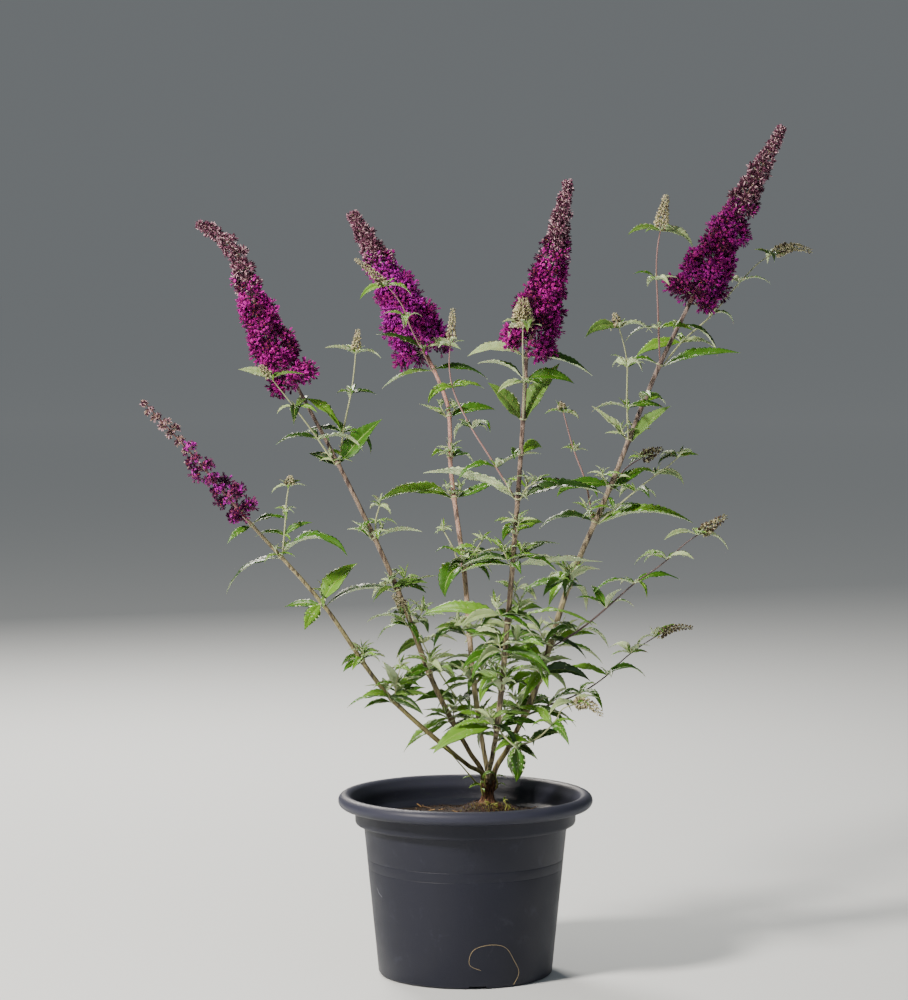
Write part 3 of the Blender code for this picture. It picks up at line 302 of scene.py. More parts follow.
def feed(node: bpy.types.Node, settings: dict) -> None:
    """Set a node's properties and inputs by name or number, and link inputs whose value is a socket."""
    for name, value in settings.items():
        if isinstance(value, bpy.types.NodeSocket):
            node.id_data.links.new(value, node.inputs[name])
        elif isinstance(name, str) and hasattr(node, name):
            setattr(node, name, value)
        else:
            node.inputs[name].default_value = value


def add_node(material: bpy.types.Material, kind: str, settings: dict, output: int | str = 0) \
        -> bpy.types.NodeSocket:
    """Add a shader node.

    Args:
        material: The material whose tree takes the node.
        kind: The node's type name, without its prefix.
        settings: What to feed it.
        output: The output that is wanted.

    Returns:
        That output.
    """
    node = material.node_tree.nodes.new("ShaderNode" + kind)
    feed(node, settings)
    return node.outputs[output]


def noise_field(material: bpy.types.Material, size: float, length: float = 0.0, **settings: float) \
        -> bpy.types.NodeSocket:
    """Add a noise pattern in the part's own space.

    Args:
        material: The material that takes it.
        size: Size of its features, in metres.
        length: Their length along Z, where they are drawn out.
        settings: Further inputs of the noise.

    Returns:
        The pattern, from 0 to 1.
    """
    place = add_node(material, "TexCoord", {}, "Object")
    if length:
        place = add_node(material, "Mapping", {"Scale": (1 / size, 1 / size, 1 / length), "Vector": place})
        size = 1.0
    return add_node(material, "TexNoise", {"Scale": 1 / size, "Vector": place, **settings})


def remap(material: bpy.types.Material, value: bpy.types.NodeSocket, start: tuple, end: tuple = (0.0, 1.0)) \
        -> bpy.types.NodeSocket:
    """Spread a value from one range over another, and return the result."""
    return add_node(material, "MapRange", {0: value, 1: start[0], 2: start[1], 3: end[0], 4: end[1]})


def ramp(material: bpy.types.Material, value: bpy.types.NodeSocket, *stops: tuple) -> bpy.types.NodeSocket:
    """Colour a value by stops of a position and a linear colour, and return the colour."""
    colour = add_node(material, "ValToRGB", {0: value})
    elements = colour.node.color_ramp.elements
    elements[0].position, elements[0].color = stops[0]
    elements[1].position, elements[1].color = stops[-1]
    for position, middle in stops[1:-1]:
        elements.new(position).color = middle
    return colour


def blend(material: bpy.types.Material, share: bpy.types.NodeSocket | float, first: object, second: object,
          mode: str = "MIX") -> bpy.types.NodeSocket:
    """Mix two colours, each plain or from a socket, and return the mixture."""
    return add_node(material, "Mix", {"data_type": "RGBA", "blend_type": mode,
                                      0: share, 6: first, 7: second}, 2)


def bump(material: bpy.types.Material, height: bpy.types.NodeSocket, strength: float, depth: float) \
        -> bpy.types.NodeSocket:
    """Turn a pattern into relief of a depth in metres, and return the normal."""
    return add_node(material, "Bump", {"Strength": strength, "Distance": depth, "Height": height})


def bare_material(name: str, colour: str, roughness: float, ior: float, **more: float) \
        -> tuple[bpy.types.Material, bpy.types.Node]:
    """Make a material that holds one shader.

    Args:
        name: The material's name.
        colour: Its plain colour.
        roughness: Its roughness.
        ior: Its index of refraction.
        more: Further inputs, with _ for the spaces in their names.

    Returns:
        The material and its shader node.
    """
    material = bpy.data.materials.new(name)
    material.use_nodes = True
    shader = material.node_tree.nodes["Principled BSDF"]
    feed(shader, {"Base Color": linear(colour), "Roughness": roughness, "IOR": ior,
                  **{socket.replace("_", " "): value for socket, value in more.items()}})
    material.diffuse_color = linear(colour)
    return material, shader


@dataclass(frozen=True)
class LivingFinish:
    """A plant surface in one plain colour, dealt out by spray; its relief is in the mesh."""

    name: str
    colour: str
    roughness: float
    sheen: float = 0.0
    soft: float = 0.0
    ior: float = 1.42

    def make(self) -> bpy.types.Material:
        """Make the material, or return the one made before."""
        made = bpy.data.materials.get(self.name)
        if made is None:
            made, _ = bare_material(self.name, self.colour, self.roughness, self.ior,
                                    Sheen_Weight=self.sheen, Sheen_Roughness=0.45,
                                    Subsurface_Weight=self.soft, Subsurface_Scale=0.6 * MM)
        return made


# Waxy upper skin of a grown leaf: yellowish green, with a soft gloss on each swell between its veins
GROWN_SKINS = (LivingFinish("leaf_skin_deep", "#22400c", 0.40, 0.0, 0.04),
               LivingFinish("leaf_skin_green", "#3b6812", 0.42, 0.0, 0.05),
               LivingFinish("leaf_skin_bright", "#649228", 0.44, 0.0, 0.06))
# Young leaf still in its down: greyer, paler and dull
YOUNG_SKINS = (LivingFinish("young_leaf_green", "#567a2c", 0.54, 0.10, 0.06),
               LivingFinish("young_leaf_silvery", "#98ad76", 0.66, 0.15, 0.06))
# White felt on the underside, which looks pale grey-green and has no gloss
LEAF_FELT = LivingFinish("leaf_felt", "#b4c498", 0.88, 0.10, 0.05)
# Midrib and stalk: pale green, slightly waxy
MIDRIB = LivingFinish("leaf_midrib", "#86a04c", 0.50, 0.05)
# Young shoots under thin down: green, flushed with pink, and ripened to a dark purple brown
SHOOT_SKINS = (LivingFinish("shoot_downy", "#a3a87c", 0.70, 0.20),
               LivingFinish("shoot_flushed", "#8f6a66", 0.62, 0.20),
               LivingFinish("shoot_ripened", "#4f3d3d", 0.66, 0.15))
# Petals with a velvet face, from deep plum to rose magenta, and one faded at the end of flowering
PETALS = tuple(LivingFinish("petal_" + name, colour, 0.85, ior=1.22) for name, colour in (
    ("deep", "#3e0034"), ("magenta", "#8a0070"), ("purple", "#800076"), ("rose", "#b4149a"),
    ("violet", "#ac18a6"), ("faded", "#72305f")))
# The eye of an open floret
FLORET_EYE = LivingFinish("floret_eye", "#a8501c", 0.60)
# Corolla tubes and closed buds, dusty with down
TUBES = (LivingFinish("tube_plum", "#3a0830", 0.70, 0.05), LivingFinish("tube_wine", "#64124e", 0.70, 0.05))
BUDS = (LivingFinish("bud_wine", "#42102c", 0.72, 0.08), LivingFinish("bud_mauve", "#7a4560", 0.72, 0.12),
        LivingFinish("bud_dusty_rose", "#c8a2ac", 0.76, 0.15), LivingFinish("bud_sand", "#9c8072", 0.78, 0.15))
# Unripe buds of the side spikes, grey-green felt with brown tips
SPIKE_BUDS = (LivingFinish("spike_bud_straw", "#bdb38e", 0.80, 0.15),
              LivingFinish("spike_bud_sage", "#868a5c", 0.80, 0.15),
              LivingFinish("spike_bud_brown", "#43311f", 0.80, 0.10))


# Shape helpers


def smooth_route(points: list, count: int) -> list[Vector]:
    """Spread points evenly on the smooth curve through a route.

    Args:
        points: The route's own points, in metres.
        count: How many points to return.

    Returns:
        The spread points, from the route's first to its last.
    """
    nodes = [Vector(point) for point in points]
    gaps = [(after - before).length for before, after in zip(nodes, nodes[1:])]
    slopes = [(after - before) / gap for before, after, gap in zip(nodes, nodes[1:], gaps)]
    tangents = [slopes[0]]
    for index in range(1, len(gaps)):
        before, after = gaps[index - 1], gaps[index]
        tangents.append((slopes[index] * before + slopes[index - 1] * after) / (before + after))
    tangents.append(slopes[-1])
    fine = []
    for index, gap in enumerate(gaps):
        start, end = nodes[index], nodes[index + 1]
        for step in range(ROUTE_STEPS):
            t = step / ROUTE_STEPS
            fine.append(start * (2 * t ** 3 - 3 * t ** 2 + 1) + end * (3 * t ** 2 - 2 * t ** 3)
                        + tangents[index] * gap * (t ** 3 - 2 * t ** 2 + t)
                        + tangents[index + 1] * gap * (t ** 3 - t ** 2))
    fine.append(nodes[-1])
    lengths = [0.0]
    for first, second in zip(fine, fine[1:]):
        lengths.append(lengths[-1] + (second - first).length)
    spread = []
    cursor = 0
    for index in range(count):
        target = lengths[-1] * index / (count - 1)
        while cursor < len(fine) - 2 and lengths[cursor + 1] < target:
            cursor += 1
        share = (target - lengths[cursor]) / max(lengths[cursor + 1] - lengths[cursor], 1e-9)
        spread.append(fine[cursor].lerp(fine[cursor + 1], min(share, 1.0)))
    return spread


def heading_vector(heading: float, rise: float) -> Vector:
    """Return the direction with a compass heading and a rise, both in degrees."""
    flat = math.radians(heading)
    up = math.radians(rise)
    return Vector((math.cos(flat) * math.cos(up), math.sin(flat) * math.cos(up), math.sin(up)))


def ring_place(centre: Vector, along: Vector, ring: float, heading: float) -> Vector:
    """Return the place on a stem's collar that faces a compass heading."""
    flat = heading_vector(heading, 0)
    return centre + (flat - along * flat.dot(along)).normalized() * ring


def ring_quads(rings: int, corners: int, closed: bool = False) -> np.ndarray:
    """Join rings of points into quads.

    Args:
        rings: How many rings there are.
        corners: How many points each has.
        closed: Whether the last ring joins the first.

    Returns:
        The quads, ring by ring.
    """
    corner = np.arange(corners)
    following = (corner + 1) % corners
    low = np.arange(rings - (not closed))[:, None] * corners
    high = (low + corners) % (rings * corners)
    return np.stack([low + corner, low + following, high + following, high + corner], axis=-1).reshape(-1, 4)


def tube(points: list, radii: list, sides: int, section: np.ndarray | float = 1.0) \
        -> tuple[np.ndarray, np.ndarray]:
    """Skin a path with a closed tube of quads, its two ends drawn in to small caps.

    Args:
        points: The path.
        radii: The tube's radius at each point.
        sides: Corners of its section.
        section: Factors on the radius, one row per point and one column per corner.

    Returns:
        The points and the quads.
    """
    path = np.array([tuple(point) for point in points], float)
    steps = np.diff(path, axis=0)
    tangents = np.vstack([steps[:1], steps[:-1] + steps[1:], steps[-1:]])
    tangents /= np.linalg.norm(tangents, axis=1, keepdims=True)
    side = np.array(Vector(tangents[0]).orthogonal().normalized())
    sides_along = []
    for tangent in tangents:
        side = side - tangent * side.dot(tangent)
        side = side / np.linalg.norm(side)
        sides_along.append(side)
    first = np.array(sides_along)
    second = np.cross(tangents, first)
    angles = np.linspace(0, math.tau, sides, endpoint=False)[None, :]
    reach = np.array(radii, float)[:, None] * section
    rings = path[:, None, :] + (reach * np.cos(angles))[..., None] * first[:, None, :] \
        + (reach * np.sin(angles))[..., None] * second[:, None, :]
    low = path[0] + (rings[0] - path[0]) * CAP_SHARE
    high = path[-1] + (rings[-1] - path[-1]) * CAP_SHARE
    rings = np.concatenate([low[None], rings, high[None]])
    return rings.reshape(-1, 3), ring_quads(len(rings), sides)


@dataclass
class Gather:
    """Faces gathered from many small forms, to be made into one mesh."""

    points: list = field(default_factory=list)
    rows: list = field(default_factory=list)
    tints: list = field(default_factory=list)
    count: int = 0

    def add(self, points: np.ndarray, faces: np.ndarray, tints: np.ndarray | int) -> None:
        """Add a form's points, its faces, and the finish number of each face."""
        self.points.append(points)
        self.rows.append(faces + self.count)
        self.tints.append(np.broadcast_to(np.asarray(tints), (len(faces),)))
        self.count += len(points)

    def make(self, name: str, finishes: tuple, smooth: bool = True) -> bpy.types.Object:
        """Make one piece of everything gathered.

        Args:
            name: The piece's name.
            finishes: The finishes, in the order of their numbers.
            smooth: Whether the faces shade smoothly.

        Returns:
            The object, linked to the scene.
        """
        mesh = bpy.data.meshes.new(name)
        points = np.concatenate(self.points)
        totals = np.concatenate([np.full(len(row), row.shape[1]) for row in self.rows])
        loops = np.concatenate([row.reshape(-1) for row in self.rows])
        mesh.vertices.add(len(points))
        mesh.vertices.foreach_set("co", points.astype(np.float32).reshape(-1))
        mesh.loops.add(len(loops))
        mesh.loops.foreach_set("vertex_index", loops.astype(np.int32))
        mesh.polygons.add(len(totals))
        starts = np.concatenate([[0], np.cumsum(totals)[:-1]])
        mesh.polygons.foreach_set("loop_start", starts.astype(np.int32))
        mesh.polygons.foreach_set("material_index", np.concatenate(self.tints).astype(np.int32))
        mesh.polygons.foreach_set("use_smooth", np.full(len(totals), smooth))
        for finish in finishes:
            mesh.materials.append(finish.make())
        mesh.update(calc_edges=True)
        made = bpy.data.objects.new(name, mesh)
        bpy.context.scene.collection.objects.link(made)
        return made


def aim(directions: np.ndarray, spins: np.ndarray) -> np.ndarray:
    """Return turns that point each form's Z axis along a direction, spun about it.

    Args:
        directions: Unit vectors, one per form.
        spins: The spin of each form, in radians.

    Returns:
        One 3 by 3 turn per form.
    """
    helper = np.where(np.abs(directions[:, 2:3]) > 0.9, [[1.0, 0.0, 0.0]], [[0.0, 0.0, 1.0]])
    first = np.cross(helper, directions)
    first /= np.linalg.norm(first, axis=1, keepdims=True)
    second = np.cross(directions, first)
    cos, sin = np.cos(spins)[:, None], np.sin(spins)[:, None]
    return np.stack([first * cos + second * sin, second * cos - first * sin, directions], axis=-1)


@dataclass(frozen=True)
class Stamp:
    """A small form of triangles that is set down many times, each face in one of its parts."""

    points: np.ndarray
    faces: np.ndarray
    parts: np.ndarray | int = 0

    def press(self, pool: Gather, copies: list, spins: list | None = None) -> None:
        """Set the form down at many places at once.

        Args:
            pool: Where its faces go.
            copies: The place, direction, size and finish numbers by part of each copy.
            spins: The turn of each about its direction, in radians.
        """
        places, directions, sizes, palettes = (np.array(column) for column in zip(*copies))
        turns = aim(directions, np.zeros(len(copies)) if spins is None else np.array(spins))
        points = np.einsum("kij,knj->kni", turns, self.points[None] * sizes[:, None]) + places[:, None]
        offsets = np.arange(len(places))[:, None, None] * len(self.points)
        pool.add(points.reshape(-1, 3), (self.faces[None] + offsets).reshape(-1, 3),
                 palettes[:, np.broadcast_to(self.parts, len(self.faces))].reshape(-1))


def lathe_triangles(profile: tuple, sides: int) -> tuple[np.ndarray, np.ndarray]:
    """Turn a closed profile of (radius, height) points, from its bottom tip to its top tip.

    Args:
        profile: The points; the first and the last lie on the axis.
        sides: Corners of each ring.

    Returns:
        The points and the triangles.
    """
    rings = profile[1:-1]
    angles = np.linspace(0, math.tau, sides, endpoint=False)
    points = [(0.0, 0.0, profile[0][1])]
    for radius, height in rings:
        points += [(radius * math.cos(a), radius * math.sin(a), height) for a in angles]
    points.append((0.0, 0.0, profile[-1][1]))
    faces = []
    for corner in range(sides):
        following = (corner + 1) % sides
        faces.append((0, 1 + following, 1 + corner))
        for ring in range(len(rings) - 1):
            low, high = 1 + ring * sides, 1 + (ring + 1) * sides
            faces += [(low + corner, low + following, high + following),
                      (low + corner, high + following, high + corner)]
        last = 1 + (len(rings) - 1) * sides
        faces.append((last + corner, last + following, len(points) - 1))
    return np.array(points), np.array(faces)


# Blades

# Half width of a lance-shaped blade along its length, as shares of its widest
LANCE_PLACES = (0.0, 0.05, 0.10, 0.17, 0.26, 0.36, 0.48, 0.60, 0.72, 0.83, 0.92, 0.97, 1.0)
LANCE_WIDTHS = (0.10, 0.12, 0.40, 0.70, 0.92, 1.00, 0.95, 0.80, 0.58, 0.35, 0.16, 0.06, 0.01)
VEIN_SPACING = 6.0 * MM
VEIN_SHEAR = 0.50
TOOTH_DEPTH = 0.08
QUILT_HEIGHT = 0.24
CRINKLE = 0.13
MARGIN = 0.99
MARGIN_RELIEF = 0.50
RIB_HALF_WIDTH = 0.1
SPINE_STEPS = 48


class BladeSize(Enum):
    """How finely a blade is pressed: its columns, and the most veins it carries a side."""

    LARGE = ((-1.0, -0.80, -0.52, -0.24, -0.035, 0.035, 0.24, 0.52, 0.80, 1.0), 14)
    MEDIUM = ((-1.0, -0.64, -0.28, -0.045, 0.045, 0.28, 0.64, 1.0), 8)
    SMALL = ((-1.0, -0.45, -0.06, 0.06, 0.45, 1.0), 4)

    @staticmethod
    def of(length: float) -> "BladeSize":
        """Choose by the blade's length."""
        if length > 0.050:
            return BladeSize.LARGE
        return BladeSize.MEDIUM if length > 0.030 else BladeSize.SMALL


@dataclass(frozen=True)
class BladeHabit:
    """How one blade is set: the bends, twist, fold and waviness that make it its own."""

    lift: float
    sag: float
    sweep: float
    roll: float
    twist: float
    fold: float
    curl: float
    wave: float
    phase: float

    @staticmethod
    def drawn(rng: random.Random, freedom: float = 1.0) -> "BladeHabit":
        """Draw a habit, all angles in degrees, with more or less freedom to leave the plan."""
        return BladeHabit(rng.gauss(0, 7) * freedom, rng.gauss(16, 16) * freedom,
                          *(rng.gauss(0, wide) for wide in (13, 16, 24)), rng.uniform(10, 36),
                          rng.uniform(0.02, 0.26), rng.uniform(0.01, 0.08), rng.uniform(0, math.tau))


def press_blade(pool: Gather, root: Vector, leaf: Leaf, habit: BladeHabit, skin: int, felt: int,
                rib: int) -> None:
    """Press one blade: a folded, arching, quilted lance with veins, teeth and a midrib.

    Args:
        pool: Where the blade's faces go.
        root: Where its stalk starts.
        leaf: Its size and attitude.
        habit: What makes it differ from the next.
        skin: Finish number of the upper side.
        felt: Finish number of the underside.
        rib: Finish number of the midrib.
    """
    columns, most_veins = BladeSize.of(leaf.length).value
    columns = np.array(columns)
    veins = int(min(max(round(leaf.length / VEIN_SPACING), 4), most_veins))
    u = np.linspace(0.0, 1.0, veins * 2 + 4)[:, None] ** 0.92
    cross = np.abs(columns)[None, :]
    t = np.clip(u + VEIN_SHEAR * cross * u * (1 - u) * (1 - 0.25 * u), 0.0, 1.0)
    fine = np.linspace(0.0, 1.0, SPINE_STEPS + 1)
    bend = np.radians(leaf.rise + habit.lift - (leaf.droop + habit.sag) * fine)
    head = np.radians(leaf.heading + habit.sweep * fine ** 1.5)
    along = np.stack([np.cos(head) * np.cos(bend), np.sin(head) * np.cos(bend), np.sin(bend)], axis=1)
    middle = (along[1:] + along[:-1]) / 2 * leaf.length / SPINE_STEPS
    spine = np.vstack([np.zeros(3), np.cumsum(middle, axis=0)]) + np.array(root)
    flat = np.stack([-np.sin(head), np.cos(head), np.zeros_like(head)], axis=1)
    up = np.cross(along, flat)
    facing = leaf.facing * math.cos(math.radians(leaf.heading))
    lean = np.radians(facing + habit.roll + habit.twist * fine)[:, None]
    over = flat * np.cos(lean) + up * np.sin(lean)
    crown = up * np.cos(lean) - flat * np.sin(lean)

    def at(values: np.ndarray) -> np.ndarray:
        """Read a row of vectors along the spine at every point of the grid."""
        return np.stack([np.interp(t, fine, values[:, axis]) for axis in range(3)], axis=-1)

    outline = np.interp(t, LANCE_PLACES, LANCE_WIDTHS)
    ridge = (np.arange(len(u)) % 2)[:, None]
    toothed = np.where(cross > MARGIN, 1.0 + TOOTH_DEPTH * (ridge - 0.6), 1.0)
    width = leaf.length * leaf.width / 2 * outline * toothed
    fold = math.radians(habit.fold)
    lift = width * (cross * math.sin(fold) - habit.curl * cross ** 2)
    relief = np.where(cross > MARGIN, MARGIN_RELIEF, np.sin(np.pi * np.clip(cross, 0, 1)) ** 0.5)
    spacing = leaf.length / (veins + 1)
    quilt = QUILT_HEIGHT * spacing * ridge * relief * outline
    groove = np.where(cross < RIB_HALF_WIDTH, -0.010 * leaf.length * 0.4, 0.0) * (1 - t)
    ripple = np.sin(math.tau * 2.4 * t + habit.phase + (columns[None, :] > 0) * 1.7)
    waves = habit.wave * leaf.length * 0.25 * ripple * cross ** 2
    crinkle = CRINKLE * spacing * np.sin(u * 917 + columns[None, :] * 473 + habit.phase * 131) * relief
    height = lift + quilt + crinkle * outline + groove + waves * outline
    shift = columns[None, :] * width * math.cos(fold)
    top = at(spine) + at(over) * shift[..., None] + at(crown) * height[..., None]
    thickness = (0.10 * MM + leaf.length * 0.0032) * (1 + 1.6 * (cross < RIB_HALF_WIDTH)) \
        * np.clip(outline * 3, 0.4, 1)
    under = top - at(crown) * np.broadcast_to(thickness, shift.shape)[..., None]
    rows, across = top.shape[:2]
    upper = np.arange(rows * across).reshape(rows, across)
    lower = upper.copy()
    lower[:, 1:-1] = rows * across + np.arange(rows * (across - 2)).reshape(rows, -1)
    points = np.concatenate([top.reshape(-1, 3), under[:, 1:-1].reshape(-1, 3)])

    def quads(grid: np.ndarray, flip: bool) -> np.ndarray:
        """Join a grid of point numbers into quads, turned over for the underside."""
        order = (grid[:-1, :-1], grid[1:, :-1], grid[1:, 1:], grid[:-1, 1:])
        return np.stack(order[::-1] if flip else order, axis=-1).reshape(-1, 4)

    strip = np.zeros((rows - 1, across - 1), int)
    strip[:, across // 2 - 1] = 1
    pool.add(points, np.concatenate([quads(upper, False), quads(lower, True)]),
             np.concatenate([np.where(strip, rib, side).reshape(-1) for side in (skin, felt)]))


def leaf_envelope(root: Vector, leaf: Leaf) -> tuple[list, list]:
    """Make the plain folded blade of the solids, for the tests of clearance.

    Args:
        root: Where the leaf's stalk starts.
        leaf: The leaf's size and attitude.

    Returns:
        The blade's points and its faces.
    """
    turn = math.radians(leaf.heading)
    across = Vector((-math.sin(turn), math.cos(turn), 0.0))
    lean = math.radians(leaf.facing * math.cos(turn))
    half_width = leaf.length * leaf.width / 2
    thickness = leaf.length * LEAF_THICKNESS_RATIO
    stations = BLADE_STATIONS if leaf.length > SMALL_LEAF else SMALL_BLADE_STATIONS
    points = [root.copy()]
    place = root.copy()
    travelled = 0.0
    for share, width in (*stations, (1.0, 0.0)):
        while travelled < share:
            step = min(0.1, share - travelled)
            bend = leaf.rise - leaf.droop * (travelled + step / 2)
            place = place + heading_vector(leaf.heading, bend) * leaf.length * step
            travelled += step
        if width:
            along = heading_vector(leaf.heading, leaf.rise - leaf.droop * share)
            up = along.cross(across).normalized()
            over = across * math.cos(lean) + up * math.sin(lean)
            crown = up * math.cos(lean) - across * math.sin(lean)
            side = half_width * width
            lift = crown * side * LEAF_FOLD * 2
            points += [place + over * side + lift, place - over * side + lift, place - crown * thickness]
    points.append(place)
    tip = len(points) - 1
    last = tip - 3
    faces = []
    for corner in range(3):
        following = (corner + 1) % 3
        faces.append((1 + following, 1 + corner, 0))
        faces += [(low + corner, low + following, low + 3 + following, low + 3 + corner)
                  for low in range(1, last, 3)]
        faces.append((last + corner, last + following, tip))
    return points, faces


def twig_prism(points: list, radii: list) -> tuple[list, list]:
    """Make the three-sided twig of the solids, for the tests of clearance.

    Args:
        points: The twig's path.
        radii: Its radius at each point.

    Returns:
        The prism's points and its faces.
    """
    corners, faces = [], []
    for index, (point, radius) in enumerate(zip(points, radii)):
        along = (points[min(index + 1, len(points) - 1)] - points[max(index - 1, 0)]).normalized()
        side = along.orthogonal().normalized()
        corners += [point + Matrix.Rotation(math.radians(turn), 3, along) @ side * radius
                    for turn in (0, 120, 240)]
    for low in range(0, 3 * len(points) - 3, 3):
        faces += [(low + corner, low + (corner + 1) % 3, low + 3 + (corner + 1) % 3, low + 3 + corner)
                  for corner in range(3)]
    return corners, faces


class Space:
    """What is already placed: limbs, and the leaves and twigs of each mass."""

    def __init__(self) -> None:
        """Start with nothing placed."""
        self.items: list[tuple] = []

    @staticmethod
    def box(points: list, margin: float = 0.0) -> tuple[list, list]:
        """Return the low and the high corner of a box round points, with a margin."""
        return ([min(point[axis] for point in points) - margin for axis in range(3)],
                [max(point[axis] for point in points) + margin for axis in range(3)])

    def add(self, owner: str, points: list, faces: list) -> None:
        """Note one form and the mass that owns it."""
        self.items.append((owner, *self.box(points), BVHTree.FromPolygons(points, faces)))

    def add_node(self, name: str) -> None:
        """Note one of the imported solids."""
        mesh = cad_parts[name].data
        self.add(name, [vertex.co.copy() for vertex in mesh.vertices],
                 [tuple(face.vertices) for face in mesh.polygons])

    def is_clear(self, owner: str, points: list, faces: list, margin: float = LEAF_CLEARANCE) -> bool:
        """Tell whether a form stays clear of every limb and of every other mass.

        Args:
            owner: The mass that the form belongs to.
            points: The form's points.
            faces: The form's faces.
            margin: The least gap, in metres.

        Returns:
            True where nothing else comes within the margin.
        """
        low, high = self.box(points, margin)
        tree = BVHTree.FromPolygons(points, faces)
        probes = list(points)
        for face in faces:
            for first, second in zip(face, face[1:] + face[:1]):
                probes += [points[first].lerp(points[second], share) for share in (0.25, 0.5, 0.75)]
        for other, other_low, other_high, other_tree in self.items:
            if other == owner or any(low[axis] > other_high[axis] or high[axis] < other_low[axis]
                                     for axis in range(3)):
                continue
            if tree.overlap(other_tree) or any(other_tree.find_nearest(probe, margin)[0] is not None
                                               for probe in probes):
                return False
        return True


# Stems


def stem_points(plan: StemPlan) -> list[Vector]:
    """Return the points along a stem from its upright foot to its tip, as in the solids."""
    foot = heading_vector(plan.foot_heading, 0) * STEM_RING_RADIUS + STUMP_CENTRE
    foot.z = MOUND_HEIGHT + CLEARANCE + STUMP_PROFILE[-1][1] + 2 * CLEARANCE
    knee = foot + Vector((0.0, 0.0, STEM_KNEE))
    return [foot, *smooth_route([knee, *plan.route], STEM_STATIONS - 1)]


@dataclass(frozen=True)
class StemBark:
    """Thin bark of a young woody stem, grown and drying: olive or straw low down, flushed above.

    It gives the eye lengthwise streaks, dark purplish blotches, small pale pores and almost no gloss.
    """

    stem: str
    low: str
    middle: str
    high: str
    blotched: float
    blotch: str = "#34241f"
    pore: str = "#cdbd95"
    low_height: float = 0.24
    high_height: float = 0.66
    streak_width: float = 0.9 * MM
    streak_length: float = 14 * MM
    blotch_width: float = 4 * MM
    blotch_length: float = 26 * MM
    pore_spacing: float = 3.2 * MM

    def make(self) -> bpy.types.Material:
        """Make the stem's material."""
        made, shader = bare_material("stem_bark_grown_" + self.stem, self.middle, 0.62, 1.45, Sheen_Weight=0.10)
        place = add_node(made, "TexCoord", {}, "Object")
        rise = remap(made, add_node(made, "SeparateXYZ", {0: place}, "Z"), (self.low_height, self.high_height))
        streaks = noise_field(made, self.streak_width, self.streak_length, Detail=4.0)
        blotches = noise_field(made, self.blotch_width, self.blotch_length, Detail=4.0)
        pores = add_node(made, "TexVoronoi", {"Scale": 1 / self.pore_spacing, "Vector": place}, "Distance")
        tint = ramp(made, rise, (0.0, linear(self.low)), (0.5, linear(self.middle)), (1.0, linear(self.high)))
        grooves = ramp(made, streaks, (0.34, (0.40, 0.33, 0.27, 1.0)), (0.60, (1.2, 1.17, 1.1, 1.0)))
        edge = 0.64 - self.blotched * 0.2
        stained = blend(made, remap(made, blotches, (edge, edge + 0.08), (0.0, 0.85)),
                        blend(made, 0.8, tint, grooves, "MULTIPLY"), linear(self.blotch))
        feed(shader, {
            "Base Color": blend(made, remap(made, pores, (0.16, 0.10), (0.0, 0.5)), stained, linear(self.pore)),
            "Normal": bump(made, streaks, 0.5, 0.25 * MM)})
        return made


BARKS = {bark.stem: bark for bark in (
    StemBark("far_left", "#726c40", "#948c64", "#ab9a86", 0.45),
    StemBark("left", "#766c46", "#7e705c", "#776561", 0.80),
    StemBark("back", "#a39b78", "#a48c7c", "#a87f78", 0.30),
    StemBark("front", "#a8a080", "#93856e", "#8c766e", 0.85),
    StemBark("right", "#847d54", "#958c6e", "#887671", 0.70))}


@dataclass
class MainStem:
    """One main stem: a slim four-angled rod with swollen leaf nodes, whole to its panicle."""

    plan: StemPlan
    rings: int = 240
    corners: int = 20
    sink: float = 0.004
    node_swell: float = 0.34
    node_length: float = 2.8 * MM
    angle_depth: float = 0.055
    relief: float = 0.045
    flare: float = 0.18
    flare_height: float = 0.012

    def __post_init__(self) -> None:
        """Work out the stem's path and radii as in the solids."""
        self.points = stem_points(self.plan)
        last = len(self.points) - 1
        spread = self.plan.tip_radius - self.plan.foot_radius
        self.radii = [self.plan.foot_radius + spread * (index / last) ** TIP_TAPER
                      for index in range(last + 1)]
        self.radii[:2] = [radius * FOOT_WAIST for radius in self.radii[:2]]

    def place(self, height: float) -> tuple[Vector, Vector, float]:
        """Return the place, direction and radius of the stem at a height."""
        for index in range(len(self.points) - 1):
            low, high = self.points[index], self.points[index + 1]
            if low.z <= height <= high.z:
                share = (height - low.z) / (high.z - low.z)
                radius = self.radii[index] + (self.radii[index + 1] - self.radii[index]) * share
                return low.lerp(high, share), (high - low).normalized(), radius
        return self.points[-1], (self.points[-1] - self.points[-2]).normalized(), self.radii[-1]

    def build(self) -> bpy.types.Object:
        """Skin the stem with its angles, nodes and bark ridges."""
        start = self.points[0] - Vector((0.0, 0.0, self.sink))
        path = smooth_route([start, *self.points], self.rings)
        last = len(self.radii) - 1
        radii = np.interp(np.linspace(-1, last, self.rings), range(last + 1), self.radii)
        heights = np.array([point.z for point in path])
        swell = np.zeros(self.rings)
        for whorl in self.plan.whorls:
            swell += np.exp(-((heights - whorl.height) / self.node_length) ** 2)
        flare = self.flare * np.exp(-(heights - heights[0]) / self.flare_height)
        angles = np.linspace(0, math.tau, self.corners, endpoint=False)
        angled = 1 + self.angle_depth * np.cos(4 * angles)[None, :]
        ridges = np.array([[noise.noise(Vector((math.cos(a) * 2.6, math.sin(a) * 2.6, h * 55)))
                            for a in angles] for h in heights])
        section = angled * (1 + self.relief * ridges * 2) \
            * (1 + self.node_swell * np.minimum(swell, 1) + flare)[:, None]
        pool = Gather()
        pool.add(*tube(path, radii, self.corners, section), 0)
        made = pool.make("bark_" + self.plan.name, (BARKS[self.plan.name],))
        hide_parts("stem_" + self.plan.name)
        return made


# Foliage


